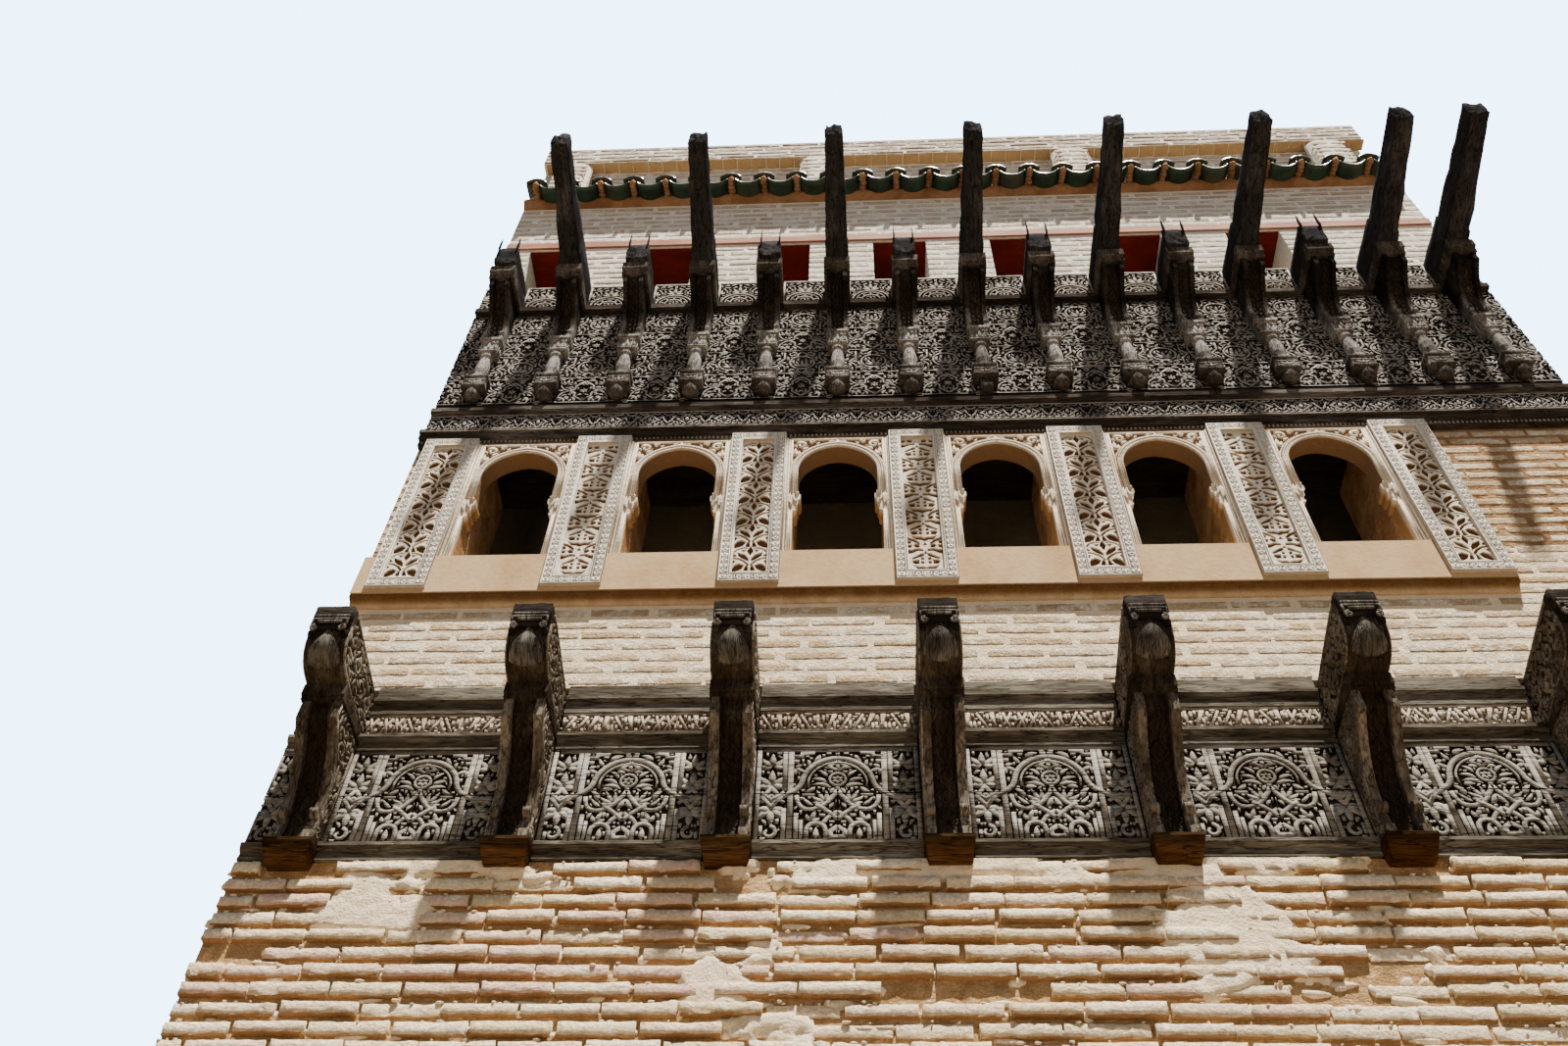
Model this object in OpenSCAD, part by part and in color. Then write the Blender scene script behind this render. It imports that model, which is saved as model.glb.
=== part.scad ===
// Six bays of a carved courtyard facade: brick walls, two cedar friezes on brackets,
// and an arcade of small arched gallery windows between carved stucco pilasters.
// The origin is on the ground under the middle of the front wall. The front faces -Y.

/* [Bays] */
// Spacing of the pilasters, brackets and windows
bay_w = 862; // [760:1:960]
// Number of window bays
bay_count = 6; // [3:1:8]

/* [Masonry] */
// Thickness of the front and rear walls
wall_t = 420; // [360:1:520]
// Overall depth from the front face to the rear face
building_depth = 1920; // [1600:1:2600]
// Thickness of the party walls
party_t = 180; // [120:1:190]
// Height of the plain brickwork under the lower frieze
lower_wall_h = 4970; // [4200:1:5600]
// Height of the brick band between the lower frieze and the sill slab
brick_band_h = 618; // [400:1:800]
// Thickness of the gallery floor
floor_t = 85; // [60:1:120]
// Thickness of the gallery ceiling boards
ceiling_t = 40; // [25:1:60]
// Height of the brickwork over the vents, up to the roof deck
upper_wall_h = 896; // [820:1:1100]
// Thickness of the roof deck
roof_t = 200; // [150:1:260]

/* [Lower frieze] */
// How far the wall behind the lower frieze is set back
lower_rebate = 60; // [40:1:90]
// Height of the bottom moulding
foot_mould_h = 73; // [60:1:95]
// Height of the main carved panel
main_panel_h = 508; // [460:1:600]
// Height of the moulding over the main panel
mid_mould_h = 79; // [70:1:100]
// Height of the narrow geometric band
narrow_band_h = 140; // [110:1:170]
// Height of the mouldings over the narrow band
top_mould_h = 90; // [70:1:110]
// Height of the weathered plank on top
plank_h = 79; // [60:1:100]
// How far the carved boards stand out of the wall face
board_proud = 6; // [2:1:14]
// How far the lower mouldings stand out of the wall face
mould_proud = 42; // [34:1:54]

/* [Lower brackets] */
// How far the bracket block stands out past each cheek
block_margin = 14.5; // [10:0.5:22]
// Width over both cheek boards
cheek_span = 166; // [150:1:180]
// Thickness of one cheek board
cheek_t = 34; // [24:1:42]
// Reach of the cheeks from the wall face
cheek_reach = 268; // [230:1:300]
// Reach of the lower stem of the cheeks
stem_reach = 82; // [60:1:100]
// Reach of the bracket block
block_reach = 112; // [100:1:140]
// Depth that the bracket block hangs below the frieze
block_drop = 40; // [25:1:60]
// Height of the bracket block above the foot of the frieze
block_top = 42; // [30:1:60]
// Upward slope of the timbers, in degrees
timber_rise = 10.5; // [6:0.5:13]
// Reach of the cap boards from the wall face
cap_reach = 292; // [275:1:330]
// Thickness of the cap board at the wall face
cap_edge = 22; // [12:1:34]
// Height of the lower beams
beam_h = 272; // [250:1:300]
// How far the lower beams stand out past each cheek
beam_margin = 1; // [0.5:0.5:4]
// Reach of the lower beams from the wall face
beam_reach = 392; // [370:1:430]
// Thickness of the square plate at the beam end
plate_t = 30; // [20:1:40]
// Height of the rounded nose under the end plate
nose_h = 136; // [110:1:150]
// How far the nose swings out before the plate
nose_w = 118; // [90:1:130]
// How far the shell ribs stand off the nose
shell_t = 12; // [6:1:18]

/* [Arcade] */
// Height of the plaster sill slab
sill_h = 278; // [240:1:330]
// How far the sill slab stands out of the wall face
sill_proud = 58; // [50:1:68]
// Height of the plaster cove under the sill slab
cove_h = 62; // [50:1:80]
// Width of a pilaster
pilaster_w = 298; // [270:1:330]
// How far the pilasters run down over the sill slab
pilaster_drop = 250; // [150:1:262]
// How far the pilasters stand out of the wall face
pilaster_proud = 74; // [70:1:90]
// Width of the border round the pilaster panel
pilaster_border = 62; // [50:1:70]
// Depth of the pilaster panel
pilaster_recess = 28; // [16:1:40]
// Width of the jamb strips between a pilaster and a window opening
jamb_w = 48.5; // [36:0.5:60]
// Width of each of the two upright fillets beside a pilaster
jamb_fillet = 13; // [9:1:16]
// How far each upright fillet stands in front of the next
fillet_step = 9; // [5:1:11]
// Height from the sill to the top of the imposts
impost_top_h = 500; // [470:1:590]
// Height of the stepped imposts
impost_h = 146; // [120:1:170]
// How far the imposts stand into the opening
impost_reach = 40; // [30:1:56]
// How far the arch stands inside the jambs at its widest
arch_inset = 22; // [12:1:28]
// Height of the straight foot of the arch over the imposts
horseshoe_h = 105; // [60:1:130]
// Height from the arch foot to its point
arch_rise = 323; // [300:1:345]
// Distance between the two centres of the arch
arch_point = 40; // [10:1:80]
// Thickness of the pierced stucco in front of the brick piers
screen_t = 100; // [70:1:130]
// How far the arch heads stand out of the wall face
screen_proud = 35; // [22:1:45]
// Width of the raised moulding round the arch
archivolt_w = 30; // [20:1:40]
// How far the arch moulding stands out of the arch head
archivolt_proud = 14; // [8:1:20]
// Height from the point of the arch to the fascia
arch_cover = 103; // [80:1:130]
// Height of the thin lintel board over the arch heads
lintel_h = 26; // [18:1:34]

/* [Upper frieze] */
// How far the wall behind the upper frieze is set back
upper_rebate = 40; // [30:1:70]
// How far the upper carved boards stand out of the wall face
upper_proud = 20; // [10:1:30]
// Height of the fascia mouldings over the arcade
fascia_h = 156; // [130:1:190]
// Height of the carved band over the fascia
upper_band_h = 159; // [140:1:180]
// Height of the moulding under the tall panel
girdle_h = 121; // [100:1:140]
// Height of the tall carved panel
tall_panel_h = 1067; // [1040:1:1100]
// Height of the moulding over the tall panel
crown_h = 93; // [88:1:110]
// How far the upper mouldings stand out of the boards
upper_mould_proud = 36; // [24:1:44]

/* [Upper corbels] */
// Width of the corbel block and capital fillets
corbel_w = 148; // [140:1:156]
// Reach of the corbel block from the boards
corbel_block_reach = 96; // [84:1:110]
// Height of the corbel block
corbel_block_h = 122; // [100:1:130]
// Height from the foot of the tall panel to the corbel block
corbel_foot = 78; // [70:1:90]
// Length of the turned bud under the block
bud_h = 108; // [96:1:114]
// Which corbel from the left has lost its bud
bare_corbel = 8; // [1:1:15]
// Height of the turned baluster
baluster_h = 300; // [270:1:315]
// Height of the carved capital
capital_h = 148; // [130:1:160]
// Thickness of one corbel cheek
corbel_cheek_t = 26; // [20:1:32]
// Width over both corbel cheeks
corbel_cheek_span = 128; // [116:1:136]
// Reach of the corbel cheeks from the boards
corbel_cheek_reach = 268; // [240:1:290]
// Reach of the stem of the corbel cheeks
corbel_stem_reach = 72; // [60:1:84]
// Width of the corbel cap
corbel_cap_w = 164; // [158:1:172]
// Reach of the corbel cap from the boards
corbel_cap_reach = 300; // [295:1:320]
// Height of the corbel cap at the boards
corbel_cap_edge = 52; // [40:1:60]
// Height of the long beams where they leave the wall
joist_h = 302; // [280:1:330]
// Width of the long beams
joist_w = 146; // [130:1:152]
// Reach of the long beams from the wall face
joist_reach = 1080; // [900:1:1250]
// Reach of their thick part
shoulder_reach = 372; // [345:1:430]
// Reach of their middle part
notch_reach = 650; // [560:1:760]
// Height of the thin part of the long beams
joist_tip_h = 188; // [150:1:215]
// Width of the middle part of the long beams
joist_tip_w = 120; // [108:1:128]
// Width of the worn end of the long beams
joist_end_w = 100; // [80:1:106]
// Reach of the broken beams from the wall face
stub_reach = 350; // [345:1:420]

/* [Vents and eave] */
// How much closer the vents stand than the bays
vent_creep = 50; // [20:1:80]
// Width of a vent
vent_w = 370; // [330:1:400]
// Height of a vent
vent_h = 640; // [560:1:700]
// Thickness of the painted boards over the vents
vent_board_t = 30; // [20:1:40]
// Height of the painted strip over the vents
strip_h = 78; // [60:1:100]
// How far the painted strip stands out of the wall face
strip_proud = 16; // [8:1:24]
// Height from the strip to the foot of the eave board
eave_rise = 560; // [500:1:580]
// Reach of the eave tiles from the wall face
eave_reach = 175; // [150:1:230]
// Slope of the eave tiles, in degrees
eave_slope = 28; // [20:1:35]
// Spacing of the eave tiles
tile_pitch = 245; // [220:1:270]
// Thickness of the eave tiles
tile_t = 16; // [12:1:22]
// Thickness of the board under the eave tiles
eave_board_t = 24; // [18:1:32]

/* [Parapet] */
// Thickness of the parapet
parapet_t = 320; // [280:1:360]
// Depth of the recessed parapet panels
parapet_recess = 100; // [70:1:130]
// Height of the recessed parapet panels
parapet_panel_h = 676; // [600:1:760]
// Height of the brick coping band
coping_h = 280; // [220:1:340]
// Width of a parapet pier
parapet_pier_w = 300; // [260:1:360]
// Spacing of the parapet piers
parapet_pier_pitch = 1970; // [1800:1:2100]
// How far the parapet piers stand out of the wall face
parapet_pier_proud = 24; // [12:1:40]

/* [Hidden] */

$fn = 48;

// Heights from the ground
frieze_z = lower_wall_h;
main_panel_z = frieze_z + foot_mould_h;
mid_mould_z = main_panel_z + main_panel_h;
narrow_band_z = mid_mould_z + mid_mould_h;
top_mould_z = narrow_band_z + narrow_band_h;
plank_z = top_mould_z + top_mould_h;
band_z = plank_z + plank_h;
sill_z = band_z + brick_band_h;
window_z = sill_z + sill_h;
impost_top_z = window_z + impost_top_h;
arch_centre_z = impost_top_z + horseshoe_h;
arch_top_z = arch_centre_z + arch_rise;
window_head_h = impost_top_h + horseshoe_h + arch_rise + arch_cover;
pilaster_z = window_z - pilaster_drop;
pilaster_h = pilaster_drop + window_head_h;
fascia_z = window_z + window_head_h;
upper_band_z = fascia_z + fascia_h;
girdle_z = upper_band_z + upper_band_h;
tall_panel_z = girdle_z + girdle_h;
crown_z = tall_panel_z + tall_panel_h;
joist_z = crown_z + crown_h;
vent_z = joist_z + joist_h;
vent_top_z = vent_z + vent_h;
deck_z = vent_top_z + upper_wall_h;
coping_z = deck_z + parapet_panel_h;
top_z = coping_z + coping_h;
// Level of the underside of the lower beams, from the cheeks up
beam_z = narrow_band_z - 5;
beam_top_z = beam_z + beam_h;
beam_front = beam_reach + 48;
nose_start = beam_front - nose_w;
cheek_z = frieze_z + block_top;
block_w = cheek_span + 2 * block_margin;
beam_w = cheek_span + 2 * beam_margin;
cheek_h = beam_z - cap_edge - cheek_z;

// Levels of the upper corbels and of the eave
corbel_block_z = tall_panel_z + corbel_foot;
baluster_z = corbel_block_z + corbel_block_h;
capital_z = baluster_z + baluster_h;
corbel_cheek_z = capital_z + capital_h;
corbel_cap_z = joist_z - corbel_cap_edge;
eave_z = vent_top_z + strip_h + eave_rise;

// Places along the wall, which ends a quarter bay outside the first axis and one
// bay and a quarter outside the last
left_strip = bay_w * 0.25;
right_strip = bay_w * 1.25;
width = left_strip + bay_count * bay_w + right_strip;
left_x = -width / 2;
right_x = width / 2;
first_axis = left_x + left_strip;
last_axis = first_axis + bay_count * bay_w;
axes = [for (i = [0:bay_count]) first_axis + i * bay_w];
windows = [for (i = [0:bay_count - 1]) first_axis + (i + 0.5) * bay_w];
arcade_mid = (first_axis + last_axis) / 2;
window_w = bay_w - pilaster_w - 2 * jamb_w;
// Joists stand over every pilaster and every window, and go on over the plain strip
joist_pitch = bay_w / 2;
joist_count = floor((width - left_strip - corbel_w) / joist_pitch) + 1;
joists = [for (i = [0:joist_count - 1]) first_axis + i * joist_pitch];
long_joists = [for (i = [0:joist_count - 1]) if (i % 2 == 1 || joists[i] > last_axis + 1) joists[i]];
stub_joists = [for (i = [0:joist_count - 1]) if (i % 2 == 0 && joists[i] < last_axis + 1) joists[i]];
vent_count = bay_count + 1;
vent_pitch = bay_w - vent_creep;
vents = [for (i = [0:vent_count - 1]) arcade_mid + (i - (vent_count - 1) / 2) * vent_pitch];

// Places through the wall
face_y = -wall_t / 2;
inner_y = wall_t / 2;
rear_inner_y = face_y + building_depth - wall_t;
rear_y = face_y + building_depth;
rise = tan(timber_rise);

// A box between two distances out of the wall face, two places along it and two heights
module slab(x0, x1, out0, out1, z0, z1) {
  translate([x0, face_y - out1, z0]) cube([x1 - x0, out1 - out0, z1 - z0]);
}

// Extrudes a profile of distance out of the face against height, w wide, centred on x
module across(x, w) {
  translate([x - w / 2, face_y, 0]) rotate([90, 0, 90]) linear_extrude(w) mirror([1, 0]) children();
}

// Runs a profile along the wall from x0 to x1
module along(x0, x1) {
  across((x0 + x1) / 2, x1 - x0) children();
}

// Gaps of a given width at the given places split the wall into stretches
function starts(places, gap) = concat([left_x], [for (p = places) p + gap / 2]);
function ends(places, gap) = concat([for (p = places) p - gap / 2], [right_x]);

// Draws its children once in every stretch between the places
module stretches(places, gap) {
  s = starts(places, gap);
  e = ends(places, gap);
  for (i = [0:len(s) - 1]) {
    if (e[i] - s[i] > 1) {
      along(s[i], e[i]) children();
    }
  }
}

// Masonry
module front_wall_lower() {
  color("burlywood") union() {
    slab(left_x, right_x, -wall_t, 0, 0, frieze_z);
    slab(left_x, right_x, -wall_t, -lower_rebate, frieze_z, beam_z);
  }
}

module joist_filling() {
  color("tan") {
    stretches(axes, beam_w) translate([-wall_t, beam_z]) square([wall_t - lower_rebate, beam_h]);
    stretches(joists, joist_w) translate([-wall_t, joist_z]) square([wall_t - upper_rebate, joist_h]);
  }
}

module front_wall_band() {
  color("wheat") union() {
    slab(left_x, right_x, -wall_t, -lower_rebate, beam_top_z, band_z);
    slab(left_x, right_x, -wall_t, 0, band_z, window_z);
  }
}

module window_piers() {
  pier_back = screen_t - screen_proud;
  color("peru") union() {
    stretches(windows, window_w)
      translate([-wall_t, window_z]) square([wall_t - pier_back, window_head_h]);
    // Beyond the end pilasters the brick comes out to the wall face
    slab(left_x, first_axis - pilaster_w / 2, -pier_back, 0, window_z, fascia_z);
    slab(last_axis + pilaster_w / 2, right_x, -pier_back, 0, window_z, fascia_z);
  }
}

module front_wall_middle() {
  color("tan") slab(left_x, right_x, -wall_t, -upper_rebate, fascia_z, joist_z);
}

module vent_piers() {
  color("wheat") stretches(vents, vent_w) translate([-wall_t, vent_z]) square([wall_t, vent_h]);
}

module front_wall_upper() {
  color("wheat") union() {
    slab(left_x, right_x, -wall_t, 0, vent_top_z, deck_z);
    slab(left_x, right_x, -parapet_t, -parapet_recess, deck_z, coping_z);
  }
}

module parapet_coping() {
  color("wheat") slab(left_x, right_x, -parapet_t, 0, coping_z, top_z);
}

// Round-shouldered piers between the recessed parapet panels
module parapet_piers() {
  pier_count = floor((width - parapet_pier_w) / parapet_pier_pitch) + 1;
  pier_x0 = right_x - 0.35 * bay_w - (pier_count - 1) * parapet_pier_pitch;
  shoulder_r = 0.3 * parapet_pier_w;
  color("wheat") for (i = [0:pier_count - 1]) {
    x = pier_x0 + i * parapet_pier_pitch;
    translate([x, face_y + parapet_recess, deck_z]) rotate([90, 0, 0])
      linear_extrude(parapet_recess + parapet_pier_proud) union() {
        translate([-parapet_pier_w / 2, 0]) square([parapet_pier_w, parapet_panel_h - shoulder_r]);
        for (s = [-1, 1])
          translate([s * (parapet_pier_w / 2 - shoulder_r), parapet_panel_h - shoulder_r])
            circle(r = shoulder_r);
        translate([shoulder_r - parapet_pier_w / 2, 0])
          square([parapet_pier_w - 2 * shoulder_r, parapet_panel_h]);
      }
  }
}

module party_walls() {
  color("wheat") for (x = [left_x, right_x - party_t])
    translate([x, inner_y, 0]) cube([party_t, rear_inner_y - inner_y, top_z]);
}

module rear_wall() {
  color("wheat") translate([left_x, rear_inner_y, 0]) cube([width, wall_t, top_z]);
}

module inner_slab(z, t) {
  translate([left_x + party_t, inner_y, z])
    cube([width - 2 * party_t, rear_inner_y - inner_y, t]);
}

module gallery_floor() {
  color("sienna") inner_slab(beam_top_z, floor_t);
}

module gallery_ceiling() {
  color("saddlebrown") inner_slab(vent_z - ceiling_t, ceiling_t);
}

module ceiling_joists() {
  inside = [for (x = joists) if (abs(x) < width / 2 - party_t - joist_tip_w / 2) x];
  color("saddlebrown") for (x = inside)
    translate([x - joist_tip_w / 2, inner_y, vent_z - ceiling_t - joist_tip_h])
      cube([joist_tip_w, rear_inner_y - inner_y, joist_tip_h]);
}

module roof_deck() {
  color("gray") inner_slab(deck_z - roof_t, roof_t);
}

// Lower frieze
module stepped_profile(h, back, proud, base) {
  // Two fillets with a quarter-round between them
  fillet = h * 0.22;
  union() {
    translate([-back, 0]) square([back + base, h]);
    translate([-back, 0]) square([back + proud * 0.55, fillet]);
    translate([-back, h - fillet]) square([back + proud, fillet]);
    translate([-back, fillet]) square([back + proud * 0.45, h - 2 * fillet]);
    translate([proud * 0.4, h - fillet]) intersection() {
      circle(r = proud * 0.5);
      translate([0, -proud]) square([proud, proud]);
    }
  }
}

module lower_mouldings() {
  color("darkolivegreen") {
    stretches(axes, block_w) translate([0, frieze_z])
      stepped_profile(foot_mould_h, lower_rebate, mould_proud, board_proud);
    stretches(axes, block_w) translate([0, mid_mould_z])
      stepped_profile(mid_mould_h, lower_rebate, mould_proud, board_proud);
    stretches(axes, block_w) translate([0, top_mould_z])
      stepped_profile(top_mould_h, lower_rebate, mould_proud * 0.75, board_proud);
  }
}

module lower_board(z, h, proud) {
  stretches(axes, block_w) translate([-lower_rebate, z]) square([lower_rebate + proud, h]);
}

module lower_panels() {
  color("darkkhaki") lower_board(main_panel_z, main_panel_h, board_proud);
}

module lower_band() {
  color("darkkhaki") lower_board(narrow_band_z, narrow_band_h, board_proud);
}

module lower_plank() {
  color("gray") lower_board(plank_z, plank_h, board_proud * 2);
}

// Lower brackets
module bracket_blocks() {
  foot_w = block_w * 0.84;
  foot_reach = block_reach * 0.5;
  lip = 14;
  color("saddlebrown") for (x = axes) intersection() {
    across(x, block_w) translate([0, frieze_z]) polygon([[-lower_rebate, 0], [0, 0],
      [0, -block_drop], [foot_reach, -block_drop], [block_reach, block_top - lip],
      [block_reach, block_top], [-lower_rebate, block_top]]);
    translate([x, face_y + lower_rebate, frieze_z]) rotate([90, 0, 0])
      linear_extrude(lower_rebate + block_reach) polygon([[-foot_w / 2, -block_drop],
        [foot_w / 2, -block_drop], [block_w / 2, block_top - lip], [block_w / 2, block_top],
        [-block_w / 2, block_top], [-block_w / 2, block_top - lip]]);
  }
}

// A cheek board: straight stem, knob, long hollow curve and square head
module cheek_profile(h, back, stem, reach, head, knob_z, knob_r) {
  hollow_h = h - head - knob_z;
  hollow_w = reach - stem;
  r = hollow_h / sin(2 * atan(hollow_w / hollow_h));
  union() {
    difference() {
      translate([-back, 0]) square([back + reach, h]);
      translate([stem + r, knob_z]) circle(r = r, $fn = 96);
    }
    translate([stem + knob_r * 0.4, knob_z]) circle(r = knob_r);
    translate([-back, 0]) square([back + stem + knob_r, knob_r * 1.6]);
  }
}

module bracket_cheeks() {
  color("dimgray") for (x = axes, s = [-1, 1])
    across(x + s * (cheek_span - cheek_t) / 2, cheek_t) translate([0, cheek_z])
      cheek_profile(cheek_h, lower_rebate, stem_reach, cheek_reach, cheek_h * 0.16,
        cheek_h * 0.22, 25);
}

module bracket_soffits() {
  set_back = 26;
  color("dimgray") for (x = axes)
    across(x, cheek_span - 2 * cheek_t) translate([0, cheek_z])
      cheek_profile(cheek_h, lower_rebate, stem_reach - set_back, cheek_reach - set_back,
        cheek_h * 0.1, cheek_h * 0.22, 4);
}

// A cap board with a level underside, its top following the slope of the beam on it
module cap_profile(back, reach, edge, lip) {
  union() {
    polygon([[-back, 0], [reach - lip, 0], [reach - lip, edge + (reach - lip) * rise],
      [0, edge], [-back, edge]]);
    polygon([[0, edge * 0.5], [reach, edge * 0.5 + lip * 0.5], [reach, edge + reach * rise], [0, edge]]);
  }
}

module bracket_caps() {
  color("dimgray") for (x = axes)
    across(x, beam_w + 18) translate([0, beam_z - cap_edge])
      cap_profile(lower_rebate, cap_reach, cap_edge, 12);
}

// The rounded nose of a beam, from its underside up to the plate, swollen by an amount
function nose_curve(swell) = [for (a = [0:10:90])
  [nose_start + (nose_w + swell) * sin(a), nose_start * rise + nose_h - (nose_h + swell) * cos(a)]];

// A beam with a level tail in the wall, rising outwards from the wall face
module beam_profile(swell) {
  polygon(concat([[-wall_t, 0], [0, 0]], nose_curve(swell),
    [[beam_front + swell, beam_h + beam_front * rise], [0, beam_h], [-wall_t, beam_h]]));
}

module lower_beams() {
  color("dimgray") for (x = axes) across(x, beam_w) translate([0, beam_z]) beam_profile(0);
}

// The carved beam end: a square plate, a narrower one, two volutes and a shell spread over the nose
module beam_end_shells() {
  plate_z = beam_z + nose_start * rise + nose_h;
  volute_r = plate_t * 0.8;
  volute_w = beam_w * 0.15;
  seat = 0.5;
  color("dimgray") for (x = axes) difference() {
    union() {
      slab(x - beam_w / 2, x + beam_w / 2, beam_front, beam_front + plate_t,
        plate_z + plate_t * 1.6, beam_z + beam_h + beam_front * rise);
      slab(x - beam_w * 0.44, x + beam_w * 0.44, beam_front, beam_front + plate_t * 0.7,
        plate_z + plate_t * 0.8, plate_z + plate_t * 1.6 + 1);
      for (s = [-1, 1])
        translate([x + s * (beam_w - volute_w) / 2 - volute_w / 2, face_y - beam_front, plate_z])
          rotate([0, 90, 0]) cylinder(r = volute_r, h = volute_w, $fn = 20);
      // Seven ribs that widen downwards, cut from the swollen nose
      intersection() {
        across(x, beam_w) translate([0, beam_z]) beam_profile(shell_t);
        translate([x, face_y, plate_z + plate_t]) rotate([90, 0, 0])
          linear_extrude(beam_front + 2 * plate_t) union() {
            translate([-beam_w * 0.12, -plate_t]) square([beam_w * 0.24, plate_t]);
            for (i = [-3:3])
              rotate(i * 13) polygon([[-beam_w * 0.03, 0], [beam_w * 0.03, 0],
                [beam_w * 0.078, -nose_h * 1.08], [0, -nose_h * 1.18], [-beam_w * 0.078, -nose_h * 1.08]]);
          }
      }
    }
    across(x, beam_w + 2) translate([0, beam_z]) beam_profile(seat);
  }
}

// Sill slab with notches for the pilasters
module sill_slab() {
  end_x = last_axis + pilaster_w / 2;
  color("lightsalmon") difference() {
    slab(left_x, end_x, 0, sill_proud, sill_z, window_z);
    for (x = axes)
      slab(x - pilaster_w / 2, x + pilaster_w / 2, -1, sill_proud + 1, pilaster_z, window_z + 1);
  }
}

module sill_cove() {
  end_x = last_axis + pilaster_w / 2;
  reach = sill_proud - 9;
  color("peru") along(left_x, end_x) translate([0, sill_z - cove_h]) difference() {
    square([reach, cove_h]);
    translate([reach, 0]) circle(r = min(cove_h, reach) - 8);
  }
}

module pilasters() {
  pier_back = screen_t - screen_proud;
  panel_w = pilaster_w - 2 * pilaster_border;
  panel_h = pilaster_h - 2 * pilaster_border;
  color("lightgray") for (x = axes) difference() {
    union() {
      slab(x - pilaster_w / 2, x + pilaster_w / 2, 0, pilaster_proud, pilaster_z, fascia_z);
      slab(x - pilaster_w / 2, x + pilaster_w / 2, -pier_back, 0, window_z, fascia_z);
    }
    slab(x - panel_w / 2, x + panel_w / 2, pilaster_proud - pilaster_recess, pilaster_proud + 1,
      pilaster_z + pilaster_border, pilaster_z + pilaster_border + panel_h);
  }
}

// A jamb strip from the opening to the pilaster, with two upright fillets beside the pilaster
module window_jambs() {
  pier_back = screen_t - screen_proud;
  color("lightgray") for (x = windows, s = [-1, 1]) {
    edge = x + s * (window_w / 2 + jamb_w);
    union() {
      slab(min(edge, edge - s * jamb_w), max(edge, edge - s * jamb_w), -pier_back, screen_proud,
        window_z, impost_top_z);
      for (i = [1:2])
        slab(min(edge, edge - s * i * jamb_fillet), max(edge, edge - s * i * jamb_fillet), -pier_back,
          screen_proud + (3 - i) * fillet_step, window_z, fascia_z - lintel_h);
    }
  }
}

// Three rounded steps under each foot of the arch
module impost_corbels() {
  pier_back = screen_t - screen_proud;
  step_h = impost_h / 3;
  color("lightgray") for (x = windows, s = [-1, 1])
    translate([x + s * window_w / 2, face_y + pier_back, impost_top_z - impost_h])
      rotate([90, 0, 0]) mirror([s > 0 ? 1 : 0, 0])
        linear_extrude(screen_t) union() {
          for (i = [0:2]) {
            reach = impost_reach * (i + 1) / 3;
            translate([0, i * step_h + step_h * 0.4]) square([reach, step_h * 0.6]);
            translate([0, i * step_h]) square([max(1, reach - step_h * 0.4), step_h]);
            translate([max(0.5, reach - step_h * 0.4), i * step_h + step_h * 0.4])
              intersection() {
                circle(r = step_h * 0.4);
                translate([0, -step_h]) square(step_h);
              }
          }
        }
}

// Stilted arch with a slight point, drawn about its window axis over its straight foot
module arch_outline(extra) {
  half = window_w / 2 - arch_inset;
  r = half + arch_point / 2;
  stilt = arch_rise - sqrt(r * r - arch_point * arch_point / 4);
  union() {
    translate([-half - extra, -horseshoe_h]) square([2 * (half + extra), horseshoe_h + stilt + 0.01]);
    intersection() {
      translate([arch_point / 2, stilt]) circle(r = r + extra, $fn = 96);
      translate([-arch_point / 2, stilt]) circle(r = r + extra, $fn = 96);
      translate([-half - extra, stilt]) square([2 * (half + extra), arch_rise + extra]);
    }
  }
}

module arch_heads() {
  head_w = bay_w - pilaster_w - 4 * jamb_fillet;
  color("lightgray") for (x = windows)
    translate([x, face_y + screen_t - screen_proud, arch_centre_z]) rotate([90, 0, 0]) {
      linear_extrude(screen_t) difference() {
        translate([-head_w / 2, -horseshoe_h])
          square([head_w, horseshoe_h + arch_rise + arch_cover - lintel_h]);
        translate([0, -0.01]) arch_outline(0);
      }
      linear_extrude(screen_t + archivolt_proud) difference() {
        arch_outline(archivolt_w);
        translate([0, -0.01]) arch_outline(0);
      }
    }
}

module lintel_boards() {
  head_w = bay_w - pilaster_w;
  color("chocolate") for (x = windows)
    slab(x - head_w / 2, x + head_w / 2, screen_proud - screen_t, screen_proud + 8,
      fascia_z - lintel_h, fascia_z);
}

// Upper frieze
module upper_board(z, h, proud) {
  slab(left_x, right_x, -upper_rebate, proud, z, z + h);
}

module upper_mouldings() {
  proud = upper_proud + upper_mould_proud;
  color("saddlebrown") {
    // Fascia over the arcade in three steps
    along(left_x, right_x) translate([-upper_rebate, fascia_z]) union() {
      square([upper_rebate + upper_proud, fascia_h]);
      square([upper_rebate + proud * 0.7, fascia_h * 0.25]);
      translate([0, fascia_h * 0.25]) square([upper_rebate + proud * 1.1, fascia_h * 0.22]);
      translate([0, fascia_h * 0.47]) square([upper_rebate + proud * 1.4, fascia_h * 0.2]);
    }
    // Girdle under the tall panel, sloping back at its top
    along(left_x, right_x) translate([0, girdle_z]) polygon([[-upper_rebate, 0], [upper_proud, 0],
      [proud, girdle_h * 0.12], [proud, girdle_h * 0.4], [upper_proud, girdle_h * 0.62],
      [upper_proud, girdle_h], [-upper_rebate, girdle_h]]);
    // Crown over the tall panel, broken round the corbels
    union() {
      upper_board(crown_z, crown_h, upper_proud);
      stretches(joists, corbel_cap_w) translate([0, crown_z + crown_h * 0.3])
        square([proud, crown_h * 0.5]);
    }
  }
}

module upper_band() {
  color("saddlebrown") upper_board(upper_band_z, upper_band_h, upper_proud);
}

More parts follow.
